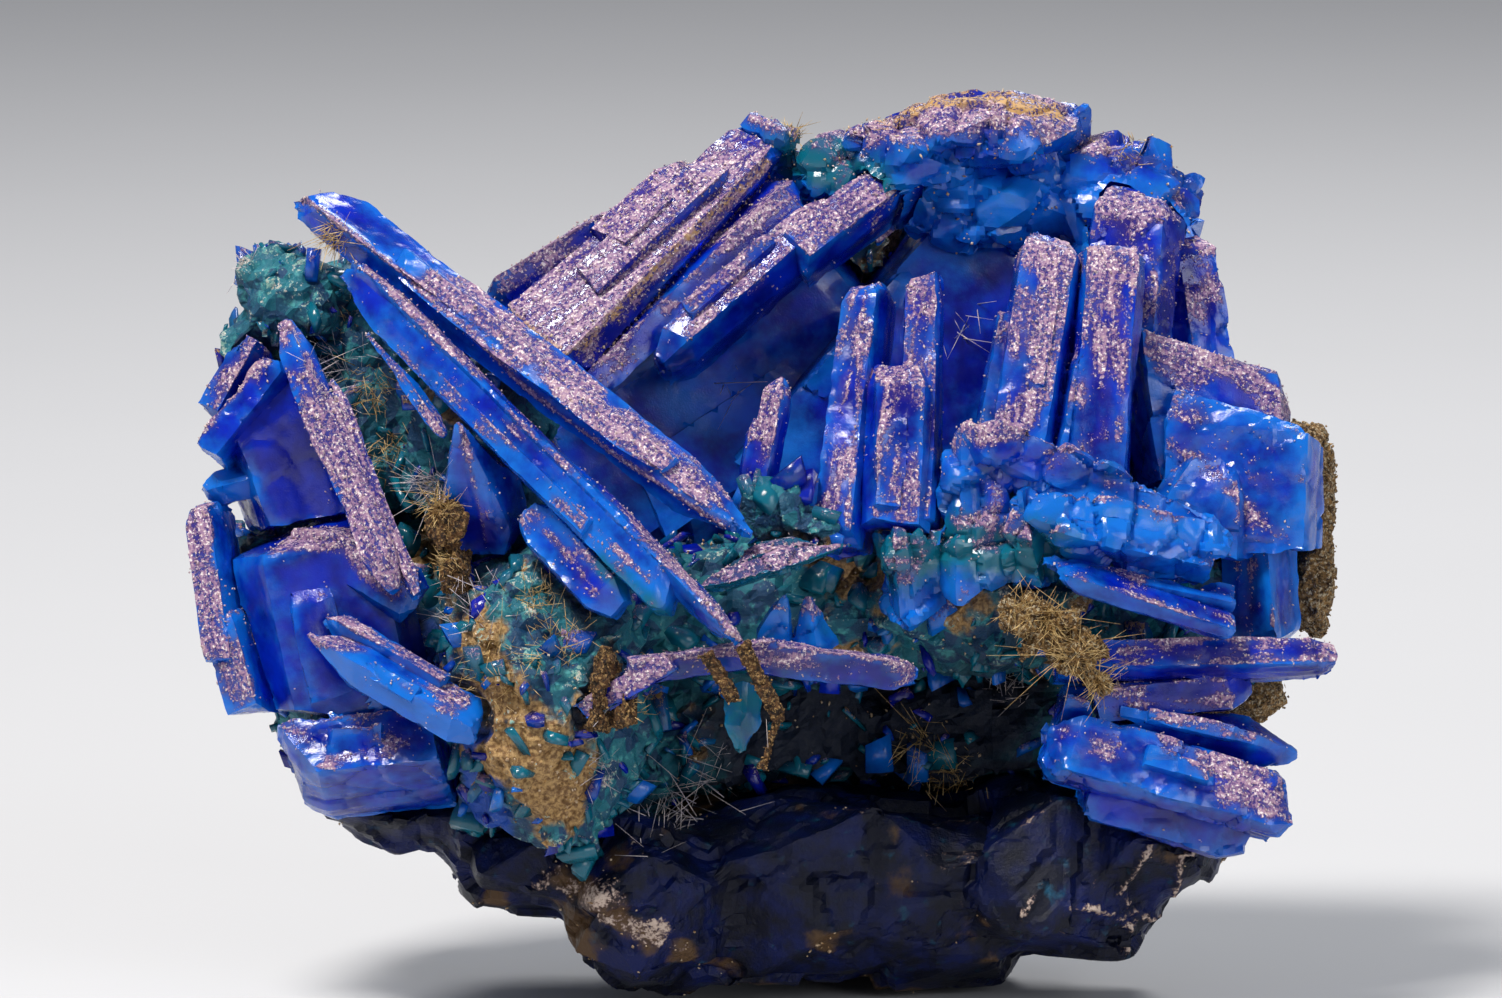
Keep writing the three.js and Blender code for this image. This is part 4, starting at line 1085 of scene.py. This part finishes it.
class CHALCANTHITE_OT_left_edge(bpy.types.Operator):
    """Grow the crystals down the left edge"""

    bl_idname = "chalcanthite.left_edge"
    bl_label = "Left Edge Crystals"

    def execute(self, context):
        return grow_group(context, "left_edge")


class CHALCANTHITE_OT_recess(bpy.types.Operator):
    """Grow the slabs, prisms and back wall of the recess"""

    bl_idname = "chalcanthite.recess"
    bl_label = "Recess Crystals"

    def execute(self, context):
        return grow_group(context, "recess")


class CHALCANTHITE_OT_right_side(bpy.types.Operator):
    """Grow the blocks and blades on the right"""

    bl_idname = "chalcanthite.right_side"
    bl_label = "Right Side Crystals"

    def execute(self, context):
        return grow_group(context, "right_side")


class CHALCANTHITE_OT_front_chips(bpy.types.Operator):
    """Grow the flake, wedges, arch and hanging shard in front"""

    bl_idname = "chalcanthite.front_chips"
    bl_label = "Front Chips"

    def execute(self, context):
        return grow_group(context, "front_chips")


class CHALCANTHITE_OT_back_blades(bpy.types.Operator):
    """Grow the blades that lie in the back"""

    bl_idname = "chalcanthite.back_blades"
    bl_label = "Back Blades"

    def execute(self, context):
        return grow_group(context, "back_blades")


class CHALCANTHITE_OT_masses(bpy.types.Operator):
    """Grow the crust that carries the crystals, its teal lumps and the dark foot"""

    bl_idname = "chalcanthite.masses"
    bl_label = "Crust and Foot"

    def execute(self, context):
        crust = material_named("teal_crust", crust_material)
        massive = material_named("dark_massive", massive_material)
        for node, row in MASSES.items():
            grow_crust(node, row, massive if node == "dark_foot" else crust)
        return {"FINISHED"}


class CHALCANTHITE_OT_rust(bpy.types.Operator):
    """Grow the rusty rods, nests and ochre rinds"""

    bl_idname = "chalcanthite.rust"
    bl_label = "Rust and Rinds"

    def execute(self, context):
        for node, row in RUST.items():
            name, *tones = EARTHY[row[-1]]
            grow_crust(node, row, material_named(name, earthy_material, *tones))
        return {"FINISHED"}


def surface_samples(names, channel, count, seed):
    """Open places spread over pieces by how strong a channel is: points, normals, draws."""
    rng = np.random.default_rng(seed)
    rows = []
    for name in names:
        mesh = bpy.data.objects[name + "_surface"].data
        corners = read(mesh.loops, "vertex_index", 1, np.int32)
        firsts = corners[read(mesh.polygons, "loop_start", 1, np.int32)]
        weights = read(mesh.polygons, "area", 1) * read(mesh.attributes[channel].data, "value", 1)[firsts]
        rows.append((read(mesh.polygons, "center", 3) / MILLI, read(mesh.polygons, "normal", 3), weights))
    centres, directions, weights = (np.concatenate(column).astype(float) for column in zip(*rows))
    picked = rng.choice(len(centres), count, p=weights / weights.sum())
    points = centres[picked] + rng.normal(size=(count, 3)) * 0.08
    normals = directions[picked]
    kept = openness(points, normals, reach=2.5, lift=0.5) > LEAST_FREE
    return points[kept], normals[kept], rng


def seen_hits(pixels):
    """Where lines of sight through pixels of the picture meet the solids: points, normals."""
    forward = Vector(TURN @ (0.0, 1.0, 0.0))
    hits = []
    for across, down in pixels:
        square = ((across - PIXEL_ORIGIN[0]) / PIXELS, VIEW_START, (PIXEL_ORIGIN[1] - down) / PIXELS)
        point, normal, _, _ = SOLIDS.ray_cast(Vector(to_row(square)), forward)
        if point is not None:
            hits.append((*point, *normal))
    rows = np.array(hits).reshape(-1, 6)
    return rows[:, :3], rows[:, 3:]


def scatter_grains(name, nodes, channel, count, size, spread, lift=0.0):
    """Loose grains over pieces, more of them where a channel is strong."""
    *finish, slot_name = SMALL_FINISHES[name]
    material = material_named(name, grain_material, *finish)
    points, normals, rng = surface_samples(nodes, channel, count, SEEDS[name])
    points = points + normals * lift
    sizes = size * np.exp(rng.normal(size=(len(points), 3)) * spread)
    points, triangles = repeated(GRAIN, GRAIN_FACES, points, turns(rng, len(points)), sizes)
    new_piece(name, points, triangles, material)


class CHALCANTHITE_OT_grains(bpy.types.Operator):
    """Scatter the sugary bloom grains over the frosted faces"""

    bl_idname = "chalcanthite.grains"
    bl_label = "Bloom Grains"

    def execute(self, context):
        settings = context.scene.chalcanthite.growth
        nodes = [node for group in CRYSTALS.values() for node in group]
        scatter_grains("bloom_grains", nodes, "bloom", settings.grains, settings.grain_size, GRAIN_SPREAD)
        return {"FINISHED"}


def splinter_shape():
    """The points and triangles of one splinter: a flat-faced chip with an uneven top."""
    foot = [(x, y, -0.5) for x, y in SPLINTER_OUTLINE]
    top = [(x * SPLINTER_TAPER, y * SPLINTER_TAPER, z) for (x, y), z in zip(SPLINTER_OUTLINE, SPLINTER_TOPS)]
    sides = len(foot)
    faces = [(0, step + 1, step) for step in range(1, sides - 1)]
    faces += [(sides, sides + step, sides + step + 1) for step in range(1, sides - 1)]
    for step in range(sides):
        after = (step + 1) % sides
        faces += [(step, after, sides + after), (step, sides + after, sides + step)]
    return np.array(foot + top), faces


class CHALCANTHITE_OT_splinters(bpy.types.Operator):
    """Scatter glassy splinters of crystal over the crust"""

    bl_idname = "chalcanthite.splinters"
    bl_label = "Splinters"

    def execute(self, context):
        settings = context.scene.chalcanthite
        shape, faces = splinter_shape()
        carriers = ("matrix", "teal_lumps")
        seed = SEEDS["teal_splinters"]
        points, normals, rng = surface_samples(carriers, "teal", settings.growth.splinters, seed)
        count = len(points)
        length = settings.growth.splinter_size * np.clip(np.exp(rng.normal(size=count) * 0.5), 0.2, 1.8)
        thick = length * rng.uniform(0.3, 0.85, count)
        sizes = np.column_stack((thick, thick, length))
        places = points + normals * (length * 0.04)[:, None]
        tint = rng.uniform(size=count)
        made, triangles = repeated(shape, faces, places, standing(rng, normals, 1.7), sizes)
        material = material_named("blue_crystal", crystal_material, settings.crystals)
        piece = new_piece("teal_splinters", made, triangles, material)
        facing = np.clip(normals_of(piece.data) @ BLOOM_SIDE, 0.0, 1.0)
        each = len(shape)
        store(
            piece,
            {
                "bloom": facing * np.repeat(rng.uniform(0.0, 1.1, count), each),
                "azure": np.repeat(rng.uniform(-0.2, 0.9, count), each),
                "teal": np.repeat(smooth_step(0.25, 0.6, tint), each),
                "stain": np.repeat(smooth_step(0.7, 1.0, rng.uniform(size=count)), each),
                "edge": np.full(len(made), 0.3),
            },
        )
        return {"FINISHED"}


class CHALCANTHITE_OT_crumbs(bpy.types.Operator):
    """Scatter ochre and rusty crumbs over the stained crust, rods and rinds"""

    bl_idname = "chalcanthite.crumbs"
    bl_label = "Crumbs"

    def execute(self, context):
        settings = context.scene.chalcanthite.growth
        stained = ("matrix", "top_crest", "dark_foot", "top_left_slab")
        size = settings.grain_size * CRUMB_SCALE
        scatter_grains("ochre_crumbs", stained, "stain", settings.crumbs, size, CRUMB_SPREAD, CRUMB_LIFT)
        scatter_grains("rust_crumbs", RUST, "teal", settings.crumbs // 2, size, CRUMB_SPREAD, CRUMB_LIFT)
        return {"FINISHED"}


class CHALCANTHITE_OT_needles(bpy.types.Operator):
    """Grow tufts of hair-like needles"""

    bl_idname = "chalcanthite.needles"
    bl_label = "Needles"

    def execute(self, context):
        settings = context.scene.chalcanthite.growth
        rng = np.random.default_rng(SEEDS["needles"])
        ring = [(math.cos(turn), math.sin(turn)) for turn in NEEDLE_CORNERS]
        tip = [(x * NEEDLE_TAPER, y * NEEDLE_TAPER, 1.0) for x, y in ring]
        shape = np.array([(x, y, 0.0) for x, y in ring] + tip)
        for finish in ("golden", "pale"):
            grown = []
            for across, down, spread, count, length, kind in TUFTS:
                if kind != finish:
                    continue
                pixels = rng.normal(size=(count, 2)) * spread * 0.55 + (across, down)
                points, normals = seen_hits(pixels)
                long = length * np.exp(rng.normal(size=len(points)) * 0.45)
                thick = settings.needle_width * rng.uniform(0.3, 0.7, len(points))
                sizes = np.column_stack((thick, thick, long))
                grown.append((points - normals * 0.1, standing(rng, normals, 0.65), sizes))
            name = finish + "_needles"
            *look, slot_name = SMALL_FINISHES[name]
            material = material_named(name, grain_material, *look)
            places, matrices, sizes = (np.concatenate(column) for column in zip(*grown))
            points, triangles = repeated(shape, NEEDLE_FACES, places, matrices, sizes)
            new_piece(name, points, triangles, material)
        return {"FINISHED"}


def turned_to(direction):
    """The rotation of a lamp or camera that looks along a direction."""
    return direction.to_track_quat("-Z", "Y").to_euler()


class CHALCANTHITE_OT_stage(bpy.types.Operator):
    """Set up the floor, the light and the camera"""

    bl_idname = "chalcanthite.stage"
    bl_label = "Stage"

    def execute(self, context):
        settings = context.scene.chalcanthite.stage
        scene = context.scene
        nodes = Nodes("pale_floor")
        pale = settings.floor_colour
        colour = nodes.mix(nodes.noise(60.0, 2.0), pale, [value * FLOOR_SHADE for value in pale])
        corners = [(x * FLOOR_HALF, y * FLOOR_HALF, 0) for x, y in ((-1, -1), (1, -1), (1, 1), (-1, 1))]
        mesh = bpy.data.meshes.new("floor")
        mesh.from_pydata(corners, [], [(0, 1, 2, 3)])
        mesh.materials.append(nodes.finish({"Base Color": colour, "Roughness": 0.9}))
        floor = bpy.data.objects.new("floor", mesh)
        scene.collection.objects.link(floor)
        scene.world = bpy.data.worlds.new("studio")
        scene.world.use_nodes = True
        sky = scene.world.node_tree.nodes["Background"].inputs
        sky["Color"].default_value = SKY
        sky["Strength"].default_value = SKY_STRENGTH
        target = Vector(to_row(AIM)) * MILLI
        for name, (size, offset, colour) in LAMPS.items():
            light = bpy.data.lights.new(name, "AREA")
            light.energy = getattr(settings, name + "_power")
            light.size = size
            light.color = colour
            lamp = bpy.data.objects.new(name, light)
            lamp.location = target + Vector(offset)
            lamp.rotation_euler = turned_to(-Vector(offset))
            scene.collection.objects.link(lamp)
        camera = bpy.data.cameras.new("camera")
        camera.sensor_width = SENSOR_WIDTH
        camera.lens = camera.sensor_width * settings.camera_distance / (FRAME_WIDTH * MILLI)
        camera.clip_start = 0.01
        camera.clip_end = 100.0
        eye = bpy.data.objects.new("camera", camera)
        back = Vector((0.0, -math.cos(LEAN), math.sin(LEAN)))
        eye.location = target + back * settings.camera_distance
        eye.rotation_euler = turned_to(-back)
        scene.collection.objects.link(eye)
        scene.camera = eye
        scene.view_settings.view_transform = "Standard"
        return {"FINISHED"}




class CHALCANTHITE_PT_panel(bpy.types.Panel):
    """The specimen's tools"""

    bl_label = "Chalcanthite Specimen"
    bl_space_type = "VIEW_3D"
    bl_region_type = "UI"
    bl_category = "Chalcanthite"

    def draw(self, context):
        settings = context.scene.chalcanthite
        for group in (settings.crystals, settings.growth, settings.stage):
            box = self.layout.box()
            for name in group.__annotations__:
                box.prop(group, name)
        for operator in OPERATORS:
            self.layout.operator(operator.bl_idname)


OPERATORS = (
    CHALCANTHITE_OT_stage,
    CHALCANTHITE_OT_left_blades,
    CHALCANTHITE_OT_left_edge,
    CHALCANTHITE_OT_recess,
    CHALCANTHITE_OT_right_side,
    CHALCANTHITE_OT_front_chips,
    CHALCANTHITE_OT_back_blades,
    CHALCANTHITE_OT_masses,
    CHALCANTHITE_OT_rust,
    CHALCANTHITE_OT_splinters,
    CHALCANTHITE_OT_crumbs,
    CHALCANTHITE_OT_needles,
    CHALCANTHITE_OT_grains,
)
CLASSES = (
    ChalcanthiteCrystalSettings,
    ChalcanthiteGrowthSettings,
    ChalcanthiteStageSettings,
    ChalcanthiteSettings,
    *OPERATORS,
    CHALCANTHITE_PT_panel,
)


def register():
    for kind in CLASSES:
        bpy.utils.register_class(kind)
    bpy.types.Scene.chalcanthite = PointerProperty(type=ChalcanthiteSettings)


def unregister():
    del bpy.types.Scene.chalcanthite
    for kind in reversed(CLASSES):
        bpy.utils.unregister_class(kind)


def main():
    """Grows the whole specimen."""
    register()
    bpy.ops.chalcanthite.stage()
    bpy.ops.chalcanthite.left_blades()
    bpy.ops.chalcanthite.left_edge()
    bpy.ops.chalcanthite.recess()
    bpy.ops.chalcanthite.right_side()
    bpy.ops.chalcanthite.front_chips()
    bpy.ops.chalcanthite.back_blades()
    bpy.ops.chalcanthite.masses()
    bpy.ops.chalcanthite.rust()
    bpy.ops.chalcanthite.splinters()
    bpy.ops.chalcanthite.crumbs()
    bpy.ops.chalcanthite.needles()
    bpy.ops.chalcanthite.grains()


if __name__ == "__main__":
    main()
